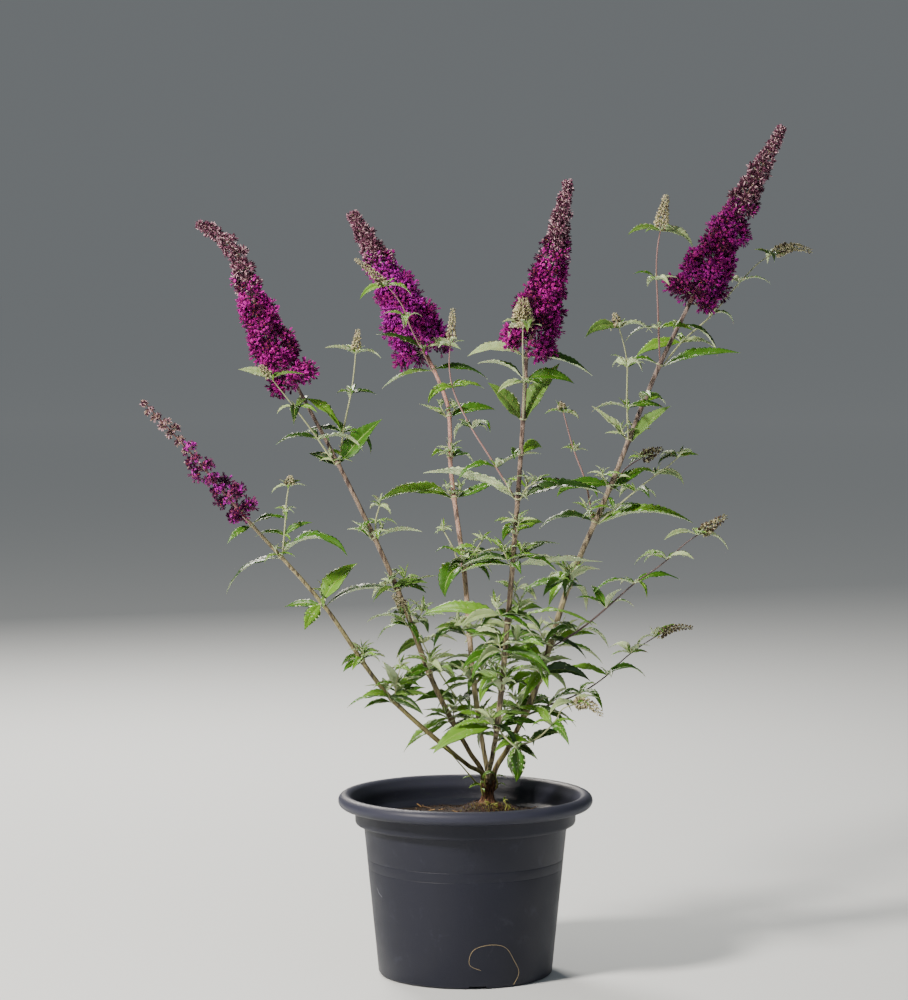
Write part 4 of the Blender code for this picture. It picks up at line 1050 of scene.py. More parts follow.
class Tint(IntEnum):
    """The finish numbers of the foliage."""

    DEEP = 0
    GREEN = 1
    BRIGHT = 2
    YOUNG = 3
    DOWNY = 4
    FELT = 5
    RIB = 6


class TwigTint(IntEnum):
    """The finish numbers of the twigs."""

    DOWNY = 0
    FLUSHED = 1
    RIPENED = 2


FOLIAGE_FINISHES = (*GROWN_SKINS, *YOUNG_SKINS, LEAF_FELT, MIDRIB)


def seed_bud() -> Stamp:
    """Make the stamp of a small blunt bud, one unit long and one wide."""
    return Stamp(*lathe_triangles(((0, 0), (0.46, 0.30), (0.40, 0.78), (0, 1)), 4))


@dataclass
class SprayPools:
    """Where the forms of one stem's sprays are gathered, each kind apart."""

    blades: Gather = field(default_factory=Gather)
    twigs: Gather = field(default_factory=Gather)
    buds: Gather = field(default_factory=Gather)


@dataclass
class LeafMass:
    """One leaf node of a stem, with its collar, its leaves, its tufts and its side shoots."""

    name: str
    whorl: Whorl
    centre: Vector
    along: Vector
    radius: float
    pools: SprayPools
    space: Space
    twig_sides: int = 6
    spike_swell: float = 0.0072
    spike_taper: float = 0.62
    spike_gap: float = 2.9 * MM
    dense_height: float = 0.50
    downy_height: float = 0.62
    set_freedom: float = 0.25

    def __post_init__(self) -> None:
        """Seed the draws and measure the collar as in the solids."""
        self.rng = random.Random(self.name)
        self.fine = random.Random("fine " + self.name)
        inner = (self.radius + CLEARANCE + 0.0001) / math.cos(math.pi / STEM_SIDES)
        self.ring = inner + COLLAR_TUBE / 2

    def grow_collar(self) -> None:
        """Ring the stem with the ridge that joins the opposite leaves."""
        side = self.along.orthogonal().normalized()
        turn = self.along.cross(side)

        def around(radius: float, angles: np.ndarray) -> list[Vector]:
            """Return places round the stem."""
            return [self.centre + (side * math.cos(a) + turn * math.sin(a)) * radius for a in angles]

        plain = around(self.ring, np.linspace(0, math.tau, STEM_SIDES, endpoint=False))
        self.space.add(self.name, *twig_prism([*plain, plain[0]], [COLLAR_TUBE] * (STEM_SIDES + 1)))
        round_ring = around(self.ring - COLLAR_TUBE * 0.4, np.linspace(0, math.tau, 15))
        self.pools.twigs.add(*tube(round_ring, [COLLAR_TUBE * 0.8] * 15, 6), TwigTint.DOWNY)

    def skin(self, length: float, young: bool) -> Tint:
        """Draw the tint of one leaf's upper side."""
        if young or length < 0.026 or self.centre.z > self.downy_height and self.fine.random() < 0.6:
            return self.fine.choice((Tint.YOUNG, Tint.YOUNG, Tint.DOWNY, Tint.DOWNY, Tint.BRIGHT))
        return self.fine.choice((Tint.DEEP, Tint.GREEN, Tint.GREEN, Tint.BRIGHT))

    def press(self, root: Vector, leaf: Leaf, young: bool, freedom: float = 1.0) -> None:
        """Press a leaf's blade with a habit of its own."""
        habit = BladeHabit.drawn(self.fine, freedom)
        press_blade(self.pools.blades, root, leaf, habit, self.skin(leaf.length, young), Tint.FELT, Tint.RIB)

    def place_leaf(self, root: Vector, leaf: Leaf, young: bool = False) -> bool:
        """Place a leaf, turned a little where it would touch something, or leave it out.

        Args:
            root: Where its stalk starts.
            leaf: Its size and attitude.
            young: Whether it is still downy.

        Returns:
            True where it was placed.
        """
        for rise in RISE_TRIALS:
            for turn in TURN_TRIALS:
                trial = replace(leaf, heading=leaf.heading + turn, rise=leaf.rise + rise)
                points, faces = leaf_envelope(root, trial)
                if self.space.is_clear(self.name, points, faces):
                    self.space.add(self.name, points, faces)
                    self.press(root, trial, young, 1.0 if leaf.facing == Leaf.facing else self.set_freedom)
                    return True
        return False

    def place_twig(self, points: list, radii: list, tone: int = TwigTint.DOWNY) -> bool:
        """Place a twig if it stays clear, and tell whether it was placed."""
        corners, faces = twig_prism(points, radii)
        if not self.space.is_clear(self.name, corners, faces, CLEARANCE):
            return False
        self.space.add(self.name, corners, faces)
        fine = smooth_route(points, max(len(points) * 3, 6)) if len(points) > 2 else points
        shares = np.linspace(0, len(radii) - 1, len(fine))
        widths = np.interp(shares, range(len(radii)), radii)
        widths[0] = max(widths[0], widths[min(1, len(widths) - 1)]) * 1.1
        self.pools.twigs.add(*tube(fine, widths, self.twig_sides), tone)
        return True

    def press_sprout(self, root: Vector, towards: Vector, size: float) -> None:
        """Press the closed tip of a shoot: two crossed pairs of small leaves that stand nearly upright."""
        heading = math.degrees(math.atan2(towards.y, towards.x))
        rise = math.degrees(math.asin(max(-1.0, min(1.0, towards.z))))
        for pair, (share, lean) in enumerate(((1.0, 34), (0.62, 16))):
            start = heading + 90 + 90 * pair + self.fine.uniform(-20, 20)
            for side in (0, 180):
                leaf = Leaf(start + side, size * share * self.fine.uniform(0.85, 1.2),
                            max(rise, 30) + 30 - lean * 0.5, self.fine.uniform(10, 40), width=0.20)
                self.press(root, leaf, True)

    def grow_shoots(self) -> None:
        """Grow the side shoots, each with pairs of leaves that turn a quarter from one to the next."""
        for shoot in self.whorl.shoots:
            towards = Vector(shoot.route[-1]) - self.centre
            root = ring_place(self.centre, self.along, self.ring,
                              math.degrees(math.atan2(towards.y, towards.x)))
            route = [root, *shoot.route[1:]]
            points = smooth_route(route, 1 + 3 * len(route) // 2)
            last = len(points) - 1
            radii = [TWIG_RADIUS * (1.15 - 0.55 * index / last) for index in range(last + 1)]
            radii[0] = COLLAR_TUBE * 0.6
            if not self.place_twig(points, radii, shoot.tone):
                LOG.info("%s: a shoot had no room", self.name)
                continue
            for pair in range(shoot.pairs):
                self.grow_pair(shoot, points, pair)
            tip = (points[-1] - points[-2]).normalized()
            if shoot.spike:
                self.grow_spike(points[-1], tip, shoot)
            else:
                self.press_sprout(points[-1], tip, 0.018)

    def grow_pair(self, shoot: Shoot, points: list, pair: int) -> None:
        """Grow one pair of a shoot's leaves, with the small leaves in its axils.

        Args:
            shoot: The shoot's plan.
            points: The shoot's path.
            pair: The pair's number, from the foot.
        """
        last = len(points) - 1
        share = (pair + 0.75) / (shoot.pairs - 0.20) if shoot.pairs > 1 else 0.92
        spot = min(share, 0.97) * last
        low = int(spot)
        place = points[low].lerp(points[min(low + 1, last)], spot - low)
        level = pair / max(shoot.pairs - 1, 1)
        length = shoot.low_leaf + (shoot.top_leaf - shoot.low_leaf) * level
        start = shoot.heading + 90 * (pair % 2) + self.rng.uniform(-14, 14)
        for side in (0, 180):
            leaf = Leaf(start + side, length * self.rng.uniform(0.9, 1.1),
                        shoot.rise + self.rng.uniform(-8, 12), self.rng.uniform(45, 75),
                        width=shoot.width)
            self.place_leaf(place, leaf, young=level > 0.6)
            small = Leaf(start + side + self.fine.uniform(-35, 35), self.fine.uniform(0.010, 0.019),
                         self.fine.uniform(40, 70), self.fine.uniform(20, 50), width=0.22)
            inner = Leaf(start + side + 90 + self.fine.uniform(-25, 25),
                         length * self.fine.uniform(0.45, 0.75), shoot.rise + self.fine.uniform(0, 25),
                         self.fine.uniform(45, 80), width=0.24)
            for axillary in (small, inner):
                self.press(place, axillary, axillary is small)

    def grow_spike(self, root: Vector, along: Vector, shoot: Shoot) -> None:
        """Grow a spike of closed buds in crowded whorls on a slim axis.

        Args:
            root: Where the spike starts.
            along: Its direction there.
            shoot: The plan that gives its length and sag.
        """
        length = shoot.spike
        whorls = max(int(length / self.spike_gap), 5)
        axis = [root + along * length * s + Vector((0.0, 0.0, -shoot.sag * length * s * s))
                for s in np.linspace(0, 1, whorls + 1)]
        self.space.add(self.name, *twig_prism(axis, [self.spike_swell * 0.6] * len(axis)))
        self.pools.twigs.add(*tube(axis, np.linspace(0.9, 0.35, len(axis)) * MM, 5), TwigTint.DOWNY)
        copies = []
        tones = (0, 1, 2, 2, 2) if shoot.tone == TwigTint.RIPENED else (0, 0, 0, 1, 2)
        for level in range(whorls):
            share = level / whorls
            lean = (axis[level + 1] - axis[level]).normalized()
            side = lean.orthogonal().normalized()
            reach = self.spike_swell * shoot.girth * (1 - self.spike_taper * share)
            reach *= self.fine.uniform(0.85, 1.1)
            for cyme in range(4):
                angle = math.tau * (cyme / 4 + level / 8) + self.fine.uniform(-0.2, 0.2)
                out = Matrix.Rotation(angle, 3, lean) @ side
                middle = axis[level] + out * reach * 0.45
                for _ in range(int(5 * shoot.girth) if share < 0.7 else 3):
                    scatter = Vector([self.fine.gauss(0, 0.55) for _ in range(3)])
                    bulk = (1.15 - 0.55 * share) * self.fine.uniform(0.8, 1.15)
                    copies.append((middle, (out + lean * 0.7 + scatter).normalized(),
                                   (1.8 * MM * bulk, 1.8 * MM * bulk, reach * 0.62), [self.fine.choice(tones)]))
        seed_bud().press(self.pools.buds, copies)

    def grow_leaves(self) -> None:
        """Grow the node's own leaves."""
        for leaf in self.whorl.leaves:
            root = ring_place(self.centre, self.along, self.ring, leaf.heading)
            if not self.place_leaf(root, leaf):
                LOG.info("%s: a leaf had no room", self.name)

    def grow_tufts(self) -> None:
        """Grow a short axillary twig beside each main leaf, with its small leaves."""
        if not self.whorl.tuft:
            return
        for leaf in self.whorl.leaves[:2]:
            heading = leaf.heading + 38
            root = ring_place(self.centre, self.along, self.ring, heading)
            lean = heading_vector(heading, 58)
            size = self.whorl.tuft
            length = size * self.rng.uniform(0.55, 0.85)
            points = [root, root + lean * length]
            if not self.place_twig(points, [COLLAR_TUBE * 0.6, TWIG_RADIUS * 0.6]):
                continue
            place = points[0].lerp(points[1], 0.85)
            start = heading + 90 + self.rng.uniform(-30, 30)
            for side in (0, 180):
                small = Leaf(start + side, size * self.rng.uniform(1.0, 1.3),
                             self.rng.uniform(35, 60), self.rng.uniform(25, 55))
                self.place_leaf(place, small, young=True)
                stretch, extra = (1.7, 2) if self.centre.z < self.dense_height else (1.15, 1)
                for turn in range(extra):
                    low = replace(small, heading=small.heading + 90 - 50 * turn + self.fine.uniform(-15, 15),
                                  length=small.length * stretch * self.fine.uniform(0.75, 1.1),
                                  rise=small.rise - 15 - 20 * turn)
                    self.place_leaf(points[0].lerp(points[1], 0.4), low, young=turn == 0)
            self.press_sprout(points[1], lean, size * 0.75)


@dataclass
class Crown:
    """All the leaf nodes of all the stems, grown in the order that the solids were."""

    stems: list
    space: Space
    pools: dict = field(default_factory=dict)

    def grow(self) -> None:
        """Grow collars, then shoots, then the nodes' own leaves, then the tufts."""
        masses = []
        for limb in self.stems:
            name = limb.plan.name
            self.pools[name] = SprayPools()
            masses += [LeafMass(f"leaves_{name}_{index + 1}", node, *limb.place(node.height),
                                self.pools[name], self.space) for index, node in enumerate(limb.plan.whorls)]
        for step in (LeafMass.grow_collar, LeafMass.grow_shoots, LeafMass.grow_leaves, LeafMass.grow_tufts):
            for mass in masses:
                step(mass)

    def build(self) -> list[bpy.types.Object]:
        """Make the pieces of each stem: its blades, its twigs and the buds of its side spikes."""
        made = []
        for limb in self.stems:
            name = limb.plan.name
            pools = self.pools[name]
            blades = pools.blades.make("foliage_" + name, FOLIAGE_FINISHES)
            twigs = pools.twigs.make("twigs_" + name, SHOOT_SKINS)
            for index in range(len(limb.plan.whorls)):
                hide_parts(f"leaves_{name}_{index + 1}")
            made += [blades, twigs]
            if pools.buds.count:
                buds = pools.buds.make("spikes_" + name, SPIKE_BUDS)
                made.append(buds)
        return made


# Blossom


class BloomTint(IntEnum):
    """The finish numbers of the blossom that are shared by every panicle."""

    EYE = 6
    TUBE_PLUM = 7
    TUBE_WINE = 8


BLOOM_FINISHES = (*PETALS, FLORET_EYE, *TUBES, *BUDS)


def open_floret(cup: float) -> Stamp:
    """Make the stamp of an open floret: a slim tube one unit long, with four lobes one unit wide.

    Args:
        cup: How far the lobes bend back below the mouth, as a share of the tube's length.

    Returns:
        The stamp, whose parts are petal 0, eye 1 and tube 2.
    """
    corners = np.arange(4) * math.tau / 4
    points = [(radius * math.cos(a), radius * math.sin(a), height)
              for radius, height in ((0.18, 0.0), (0.29, 0.98)) for a in corners]
    points.append((0.0, 0.0, 0.93))
    for a in corners:
        points += [(reach * math.cos(a + turn), reach * math.sin(a + turn), 1.0 - cup * drop)
                   for turn, reach, drop in ((0.30, 0.86, 0.7), (0.785, 1.0, 1.0), (1.27, 0.86, 0.7))]
    faces, parts = [], []
    for corner in range(4):
        after = (corner + 1) % 4
        mouth, next_mouth = 4 + corner, 4 + after
        rim = 9 + corner * 3
        faces += [(corner, after, next_mouth), (corner, next_mouth, mouth), (8, mouth, next_mouth),
                  (mouth, rim, next_mouth), (rim, rim + 2, next_mouth), (rim, rim + 1, rim + 2)]
        parts += [2, 2, 1, 0, 0, 0]
    return Stamp(np.array(points), np.array(faces), np.array(parts))


def closed_floret() -> Stamp:
    """Make the stamp of a floret that is about to open: a club one unit long."""
    points, faces = lathe_triangles(((0, 0), (0.065, 0.55), (0.125, 0.84), (0, 1)), 4)
    heights = points[faces].mean(axis=1)[:, 2]
    return Stamp(points, faces, np.where(heights > 0.7, 0, 2))


# The sizes of the open stamps give the limb's radius and the tube's length
STAMPS = {"open": open_floret(0.10), "half": open_floret(-0.50), "club": closed_floret(), "bud": seed_bud()}


@dataclass
class FlowerPanicle:
    """A panicle: a rachis whose whorls of domed cymes open from the base and are in bud above."""

    plan: PaniclePlan
    stem: MainStem
    pools: SprayPools
    tube_share: float = 0.80
    floret_gap: float = 3.4 * MM
    bud_gap: float = 2.1 * MM
    dome_limit: float = 12.5 * MM
    crowding: float = 1.20
    low_cymes: tuple = (6, 5, 5)

    def axis(self) -> list[Vector]:
        """Return points along the rachis, from the stem's end to the panicle's tip."""
        end = self.stem.points[-1]
        end_along = (end - self.stem.points[-2]).normalized()
        along = (Vector(self.plan.axis[1]) - Vector(self.plan.axis[0])).normalized()
        foot = end + end_along * CLEARANCE * 1.5
        return [end, foot, *smooth_route([foot + along * PEDUNCLE, *self.plan.axis[1:]], 40)]

    def build(self) -> bpy.types.Object:
        """Build the blossom, and add its rachis and branches to the stem's twigs."""
        rng = random.Random("blossom " + self.plan.stem)
        axis = self.axis()
        radii = np.linspace(self.stem.radii[-1], 0.7 * MM, len(axis))
        self.pools.twigs.add(*tube(axis, radii, 8), TwigTint.FLUSHED)
        blossom = Gather()
        for whorl in range(self.plan.whorls):
            share = 1 - (1 - (whorl + 0.25) / self.plan.whorls) ** self.crowding
            share += self.plan.foot_gap * (1 - share) if whorl else 0.0
            self.grow_whorl(blossom, axis, share, whorl, rng)
        made = blossom.make("blossom_" + self.plan.stem, BLOOM_FINISHES, smooth=False)
        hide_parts("bloom_" + self.plan.stem)
        return made

    def grow_whorl(self, blossom: Gather, axis: list, share: float, number: int,
                   rng: random.Random) -> None:
        """Grow the cymes of one whorl.

        Args:
            blossom: Where the florets and buds go.
            axis: The rachis.
            share: The whorl's place along it, from 0 at the base to 1 at the tip.
            number: The whorl's number, from the base.
            rng: The panicle's own draws.
        """
        spot = 2 + share * (len(axis) - 3)
        low = int(spot)
        high = min(low + 1, len(axis) - 1)
        centre = axis[low].lerp(axis[high], spot - low)
        along = (axis[high] - axis[max(low - 1, 0)]).normalized()
        side = along.orthogonal().normalized()
        spread = self.plan.tip_half_width - self.plan.base_half_width
        reach = self.plan.base_half_width + spread * share
        cymes = self.low_cymes[number] if number < len(self.low_cymes) else 4
        for cyme in range(cymes):
            major = cyme % 2 == 0
            angle = math.tau * (cyme / cymes + number / 8) + rng.uniform(-0.22, 0.22)
            out = Matrix.Rotation(angle, 3, along) @ side
            size = reach * rng.uniform(0.90, 1.06) * (1.0 if major else 0.88)
            if rng.random() > self.plan.fullness:
                size *= rng.uniform(0.45, 0.75)
            dome = min(size * 0.34 + 2.0 * MM, self.dome_limit)
            facing = (out + along * (0.34 + 0.4 * share)).normalized()
            middle = centre + out * max(size - dome, 0.0) + along * dome * 0.15
            stalk = [centre, centre.lerp(middle, 0.6) + along * 0.4 * MM, middle + facing * dome * 0.2]
            self.pools.twigs.add(*tube(stalk, [0.55 * MM, 0.45 * MM, 0.35 * MM], 4), TwigTint.DOWNY)
            openness = (self.plan.open_share - share) / 0.14 + 0.5 + rng.uniform(-0.25, 0.25)
            self.grow_cyme(blossom, middle, facing, dome, openness, share, rng)

    def grow_cyme(self, blossom: Gather, middle: Vector, facing: Vector, dome: float,
                  openness: float, share: float, rng: random.Random) -> None:
        """Set florets and buds over the dome of one cyme.

        Args:
            blossom: Where the florets and buds go.
            middle: The dome's centre.
            facing: The way it faces.
            dome: Its radius.
            openness: Share of its florets that are open, which may pass 0 or 1.
            share: The cyme's place along the rachis.
            rng: The panicle's own draws.
        """
        depth = 1 - math.cos(math.radians(96))
        area = 2 * math.pi * dome * dome * depth
        gap = self.floret_gap if openness > 0.3 else self.bud_gap + 0.9 * MM * (1 - share)
        count = max(int(area / gap ** 2), 5)
        golden = math.pi * (3 - math.sqrt(5))
        turn = facing.to_track_quat("Z", "Y").to_matrix()
        groups = {kind: [] for kind in STAMPS}
        shade = rng.choice((0, 1, 1, 2))
        tones = self.plan.petals
        for index in range(count):
            level = 1 - depth * (index + 0.5) / count
            around = index * golden + rng.uniform(-0.3, 0.3)
            flat = math.sqrt(max(1 - level * level, 0.0))
            direction = turn @ Vector((flat * math.cos(around), flat * math.sin(around), level))
            direction = (direction + Vector([rng.gauss(0, 0.11) for _ in range(3)])).normalized()
            state = rng.random()
            petal = tones[min(max(shade + rng.choice((-1, 0, 0, 1)), 0), 2)]
            wine = int(rng.choice((BloomTint.TUBE_PLUM, BloomTint.TUBE_WINE)))
            if state < openness * 0.80:
                kind = "open" if rng.random() < 0.7 else "half"
                length = dome * rng.uniform(0.80, 1.12)
                palette = (petal, int(BloomTint.EYE), wine)
                size = (2.0 * MM * rng.uniform(0.85, 1.15),) * 2 + (length * self.tube_share,)
            elif openness > 0.15:
                kind = "club"
                length = dome * rng.uniform(0.85, 1.40)
                palette = (int(rng.choice((BloomTint.TUBE_WINE, *self.plan.buds, petal))), 0, wine)
                size = (7.5 * MM,) * 2 + (length * self.tube_share,)
            else:
                kind = "bud"
                length = dome * rng.uniform(0.80, 1.40)
                palette = (int(rng.choice(self.plan.buds)), 0, 0)
                bulk = (2.1 - 0.7 * share) * MM * rng.uniform(0.85, 1.15)
                size = (bulk, bulk, length * 0.66)
            groups[kind].append((middle + direction * (length - size[2]), direction, size, palette))
        for kind, copies in groups.items():
            if copies:
                STAMPS[kind].press(blossom, copies, [rng.uniform(0, math.tau) for _ in copies])


# Pot, compost and rootstock


@dataclass(frozen=True)
class MouldedPolypropylene:
    """Injection-moulded polypropylene, through-coloured anthracite, with a fine eroded mould face.

    It gives the eye a satin gloss that softens over the grain, handling marks, a little dust, and a painted
    highlight that makes the rim paler.
    """

    colour: str = "#1e202c"
    # Paler tone of handling wear, also laid over the rim as a painted highlight
    wear_and_highlight: str = "#393b4a"
    # Above this height the rim is painted paler, as a painted highlight
    rim_height: float = 0.198
    rim_highlight_fade: float = 0.006
    grain: float = 1.3 * MM
    cloud: float = 60 * MM
    mark_spacing: float = 22 * MM

    def make(self) -> bpy.types.Material:
        """Make the material."""
        made, shader = bare_material("polypropylene_moulded_anthracite", self.colour, 0.42, 1.36)
        clouds = noise_field(made, self.cloud, Detail=5.0)
        grain = noise_field(made, self.grain, Detail=2.0)
        marks = noise_field(made, self.mark_spacing, Detail=8.0, Roughness=0.7, Distortion=0.6)
        height = add_node(made, "SeparateXYZ", {0: add_node(made, "TexCoord", {}, "Object")}, "Z")
        # Handling wear, from the marks
        wear_and_highlight = remap(made, marks, (0.58, 0.80), (0.0, 0.6))
        # Painted highlight: the rim painted paler above its height
        rim = remap(made, height, (self.rim_height, self.rim_height + self.rim_highlight_fade), (0.0, 0.75))
        # Handling wear and the painted rim highlight together
        wear_and_painted_highlight = add_node(made, "Math", {"operation": "MAXIMUM", 0: wear_and_highlight, 1: rim})
        feed(shader, {"Base Color": blend(made, wear_and_painted_highlight, linear(self.colour), linear(self.wear_and_highlight)),
                      "Roughness": remap(made, clouds, (0.3, 0.7), (0.38, 0.54)),
                      "Normal": bump(made, grain, 1.0, 0.22 * MM)})
        return made


@dataclass(frozen=True)
class MottledFinish:
    """A dull surface in two tones, with relief that follows them."""

    name: str
    plain: str
    tones: tuple
    roughness: float
    ior: float
    size: float
    length: float
    detail: float
    noise_roughness: float
    strength: float
    depth: float

    def make(self) -> bpy.types.Material:
        """Make the material."""
        made, shader = bare_material(self.name, self.plain, self.roughness, self.ior)
        mottle = noise_field(made, self.size, self.length, Detail=self.detail, Roughness=self.noise_roughness)
        feed(shader, {"Base Color": ramp(made, mottle, *((stop, linear(tone)) for stop, tone in self.tones)),
                      "Normal": bump(made, mottle, self.strength, self.depth)})
        return made


# Damp milled peat with wood fibre: dark brown crumbs, quite without gloss
PEAT = MottledFinish("compost_milled_peat", "#120c08", ((0.38, "#120c08"), (0.72, "#35251a")),
                     0.93, 1.40, 2.2 * MM, 0.0, 6.0, 0.7, 0.9, 1.0 * MM)
# Red-brown bark of the old rootstock, split into short plates as it grew
OLD_BARK = MottledFinish("rootstock_bark_split", "#845c40", ((0.40, "#24130c"), (0.66, "#845c40")),
                         0.88, 1.45, 1.6 * MM, 7 * MM, 5.0, 0.65, 0.8, 0.6 * MM)
# A dry root fibre stuck to the wall, and plastic raised pale by a knock
FIBRE = LivingFinish("root_fibre_dried", "#a08f6e", 0.70)
SCUFF = LivingFinish("plastic_scuffed", "#7d8088", 0.60)


@dataclass
class NurseryPot:
    """The round tapering pot, with its rolled rim, collar, two fine grooves and drainage slots."""

    rim_outer: float = 0.150
    rim_tube: float = 0.0081
    rim_height: float = 0.205
    collar: float = 0.1308
    collar_foot: float = 0.178
    body_top: float = 0.1197
    body_foot: float = 0.1022
    foot_rounding: float = 0.003
    collar_rounding: float = 0.0016
    hole: float = 0.02
    groove_heights: tuple = (0.1373, 0.1257)
    groove_width: float = 0.0013
    groove_depth: float = 0.0002
    wall: float = 0.0028
    base: float = 0.004
    slot_size: tuple = (0.024, 0.021, 0.0035)
    slot_count: int = 4
    slot_turn: float = math.radians(8.0)
    slot_reach: float = 0.006
    slot_sink: float = 0.0005
    steps: int = 144
    sharp_angle: float = 32.0

    def profile(self) -> list[tuple[float, float]]:
        """Return the wall's closed profile, down its outside and up its inside."""
        ring = self.rim_outer - self.rim_tube
        taper = (self.body_top - self.body_foot) / self.collar_foot
        points = [(ring + self.rim_tube * math.cos(a), self.rim_height + self.rim_tube * math.sin(a))
                  for a in np.radians(np.linspace(160, -90, 26))]
        points += [(self.collar + 0.0016, self.rim_height - 0.0079), (self.collar, self.rim_height - 0.0098),
                   (self.collar - 0.0009, self.collar_foot + 0.0065)]
        points += [(self.collar - 0.0034 + 0.0025 * math.cos(a),
                    self.collar_foot + 0.004 - 0.0040 * math.sin(a)) for a in np.radians(np.linspace(8, 90, 7))]
        turn = self.collar_rounding
        points += [(self.body_top + turn - turn * math.sin(a), self.collar_foot - turn + turn * math.cos(a))
                   for a in np.radians(np.linspace(0, 90, 6))]
        for height in self.groove_heights:
            side = self.body_foot + taper * height
            points += [(side + 0.0001 - self.groove_depth * 0.5 * (1 - math.cos(a)),
                        height + self.groove_width * (0.5 - a / math.tau))
                       for a in np.linspace(0, math.tau, 9)]
        foot = self.foot_rounding
        points += [(self.body_foot + taper * foot - foot * 1.2 * (1 - math.cos(a)), foot * (1 - math.sin(a)))
                   for a in np.radians(np.linspace(0, 90, 6))]
        body, collar = self.body_top - self.wall, self.collar - self.wall
        return [*points, (self.body_foot * 0.5, 0.0), (self.hole, 0.0), (self.hole, self.base),
                (self.body_foot - self.wall, self.base), (body, self.collar_foot + 0.001),
                (body + 0.0020, self.collar_foot + 0.004), (collar - 0.0020, self.collar_foot + 0.0075),
                (collar, self.rim_height - 0.017), (collar + 0.0010, self.rim_height - 0.010),
                (collar + 0.0035, self.rim_height - 0.002)]

    def build(self) -> bpy.types.Object:
        """Turn the wall and cut the drainage slots at its foot."""
        profile = np.array(self.profile())
        angles = np.linspace(0, math.tau, self.steps, endpoint=False)
        rings = np.stack([profile[:, :1] * np.cos(angles), profile[:, :1] * np.sin(angles),
                          np.broadcast_to(profile[:, 1:], (len(profile), self.steps))], axis=-1)
        pool = Gather()
        pool.add(rings.reshape(-1, 3), ring_quads(len(profile), self.steps, closed=True)[:, TURNED_OVER], 0)
        pot = pool.make("pot_shell", (MouldedPolypropylene(),))
        self.cut_slots(pot)
        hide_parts("pot")
        return pot

    def on_wall(self, x: float, height: float) -> Vector:
        """Return the place on the front of the outer wall at a distance from the middle and a height."""
        radius = self.body_foot + (self.body_top - self.body_foot) * height / self.collar_foot + 0.2 * MM
        return Vector((x, -math.sqrt(radius * radius - x * x), height))

    def cling(self) -> bpy.types.Object:
        """Lay the looped dry fibre and the short scuff that cling to the wall."""
        pool = Gather()
        loop = [self.on_wall(x, height) for x, height in
                ((0.018, 0.022), (0.005, 0.029), (0.008, 0.045), (0.027, 0.052), (0.046, 0.048),
                 (0.056, 0.032), (0.062, 0.015), (0.056, 0.002))]
        pool.add(*tube(smooth_route(loop, 60), [0.28 * MM] * 60, 5), 0)
        scuff = [self.on_wall(x, height) for x, height in ((-0.103, 0.108), (-0.101, 0.103), (-0.097, 0.099))]
        pool.add(*tube(smooth_route(scuff, 8), [0.22 * MM] * 8, 5), 1)
        made = pool.make("clinging_fibre", (FIBRE, SCUFF))
        return made

    def cut_slots(self, pot: bpy.types.Object) -> None:
        """Cut the slots with boxes, which are removed afterwards."""
        cutters = []
        for index in range(self.slot_count):
            turn = self.slot_turn - math.pi / 2 + index * math.tau / self.slot_count
            reach = self.body_foot - self.slot_size[0] / 2 + self.slot_reach
            place = (math.cos(turn) * reach, math.sin(turn) * reach, self.slot_size[2] / 2 - self.slot_sink)
            bpy.ops.mesh.primitive_cube_add(size=1.0, location=place, rotation=(0.0, 0.0, turn))
            box = bpy.context.object
            box.scale = self.slot_size
            cut = pot.modifiers.new("slot", "BOOLEAN")
            cut.object = box
            cut.solver = "EXACT"
            cutters.append(box)
        bpy.context.view_layer.update()
        mesh = bpy.data.meshes.new_from_object(pot.evaluated_get(bpy.context.evaluated_depsgraph_get()))
        pot.modifiers.clear()
        pot.data = mesh
        for box in cutters:
            bpy.data.objects.remove(box)
        mesh.set_sharp_from_angle(angle=math.radians(self.sharp_angle))


# Loose crumbs of peat, straw and bark chips, and the moss and seedlings on them
CRUMB_DARK = LivingFinish("peat_crumb_dark", "#170f0a", 0.95)
CRUMB_BROWN = LivingFinish("peat_crumb_brown", "#3a281a", 0.95)
STRAW = LivingFinish("straw_dried", "#8a6c42", 0.80)
CHIP = LivingFinish("bark_chip_weathered", "#54402c", 0.90)
MOSS = LivingFinish("moss_growing", "#76762a", 0.80, 0.20)
MOSS_DRY = LivingFinish("moss_browned", "#553420", 0.85, 0.15)
SPROUT = LivingFinish("sprout_yellow_green", "#8f9440", 0.60, 0.15)


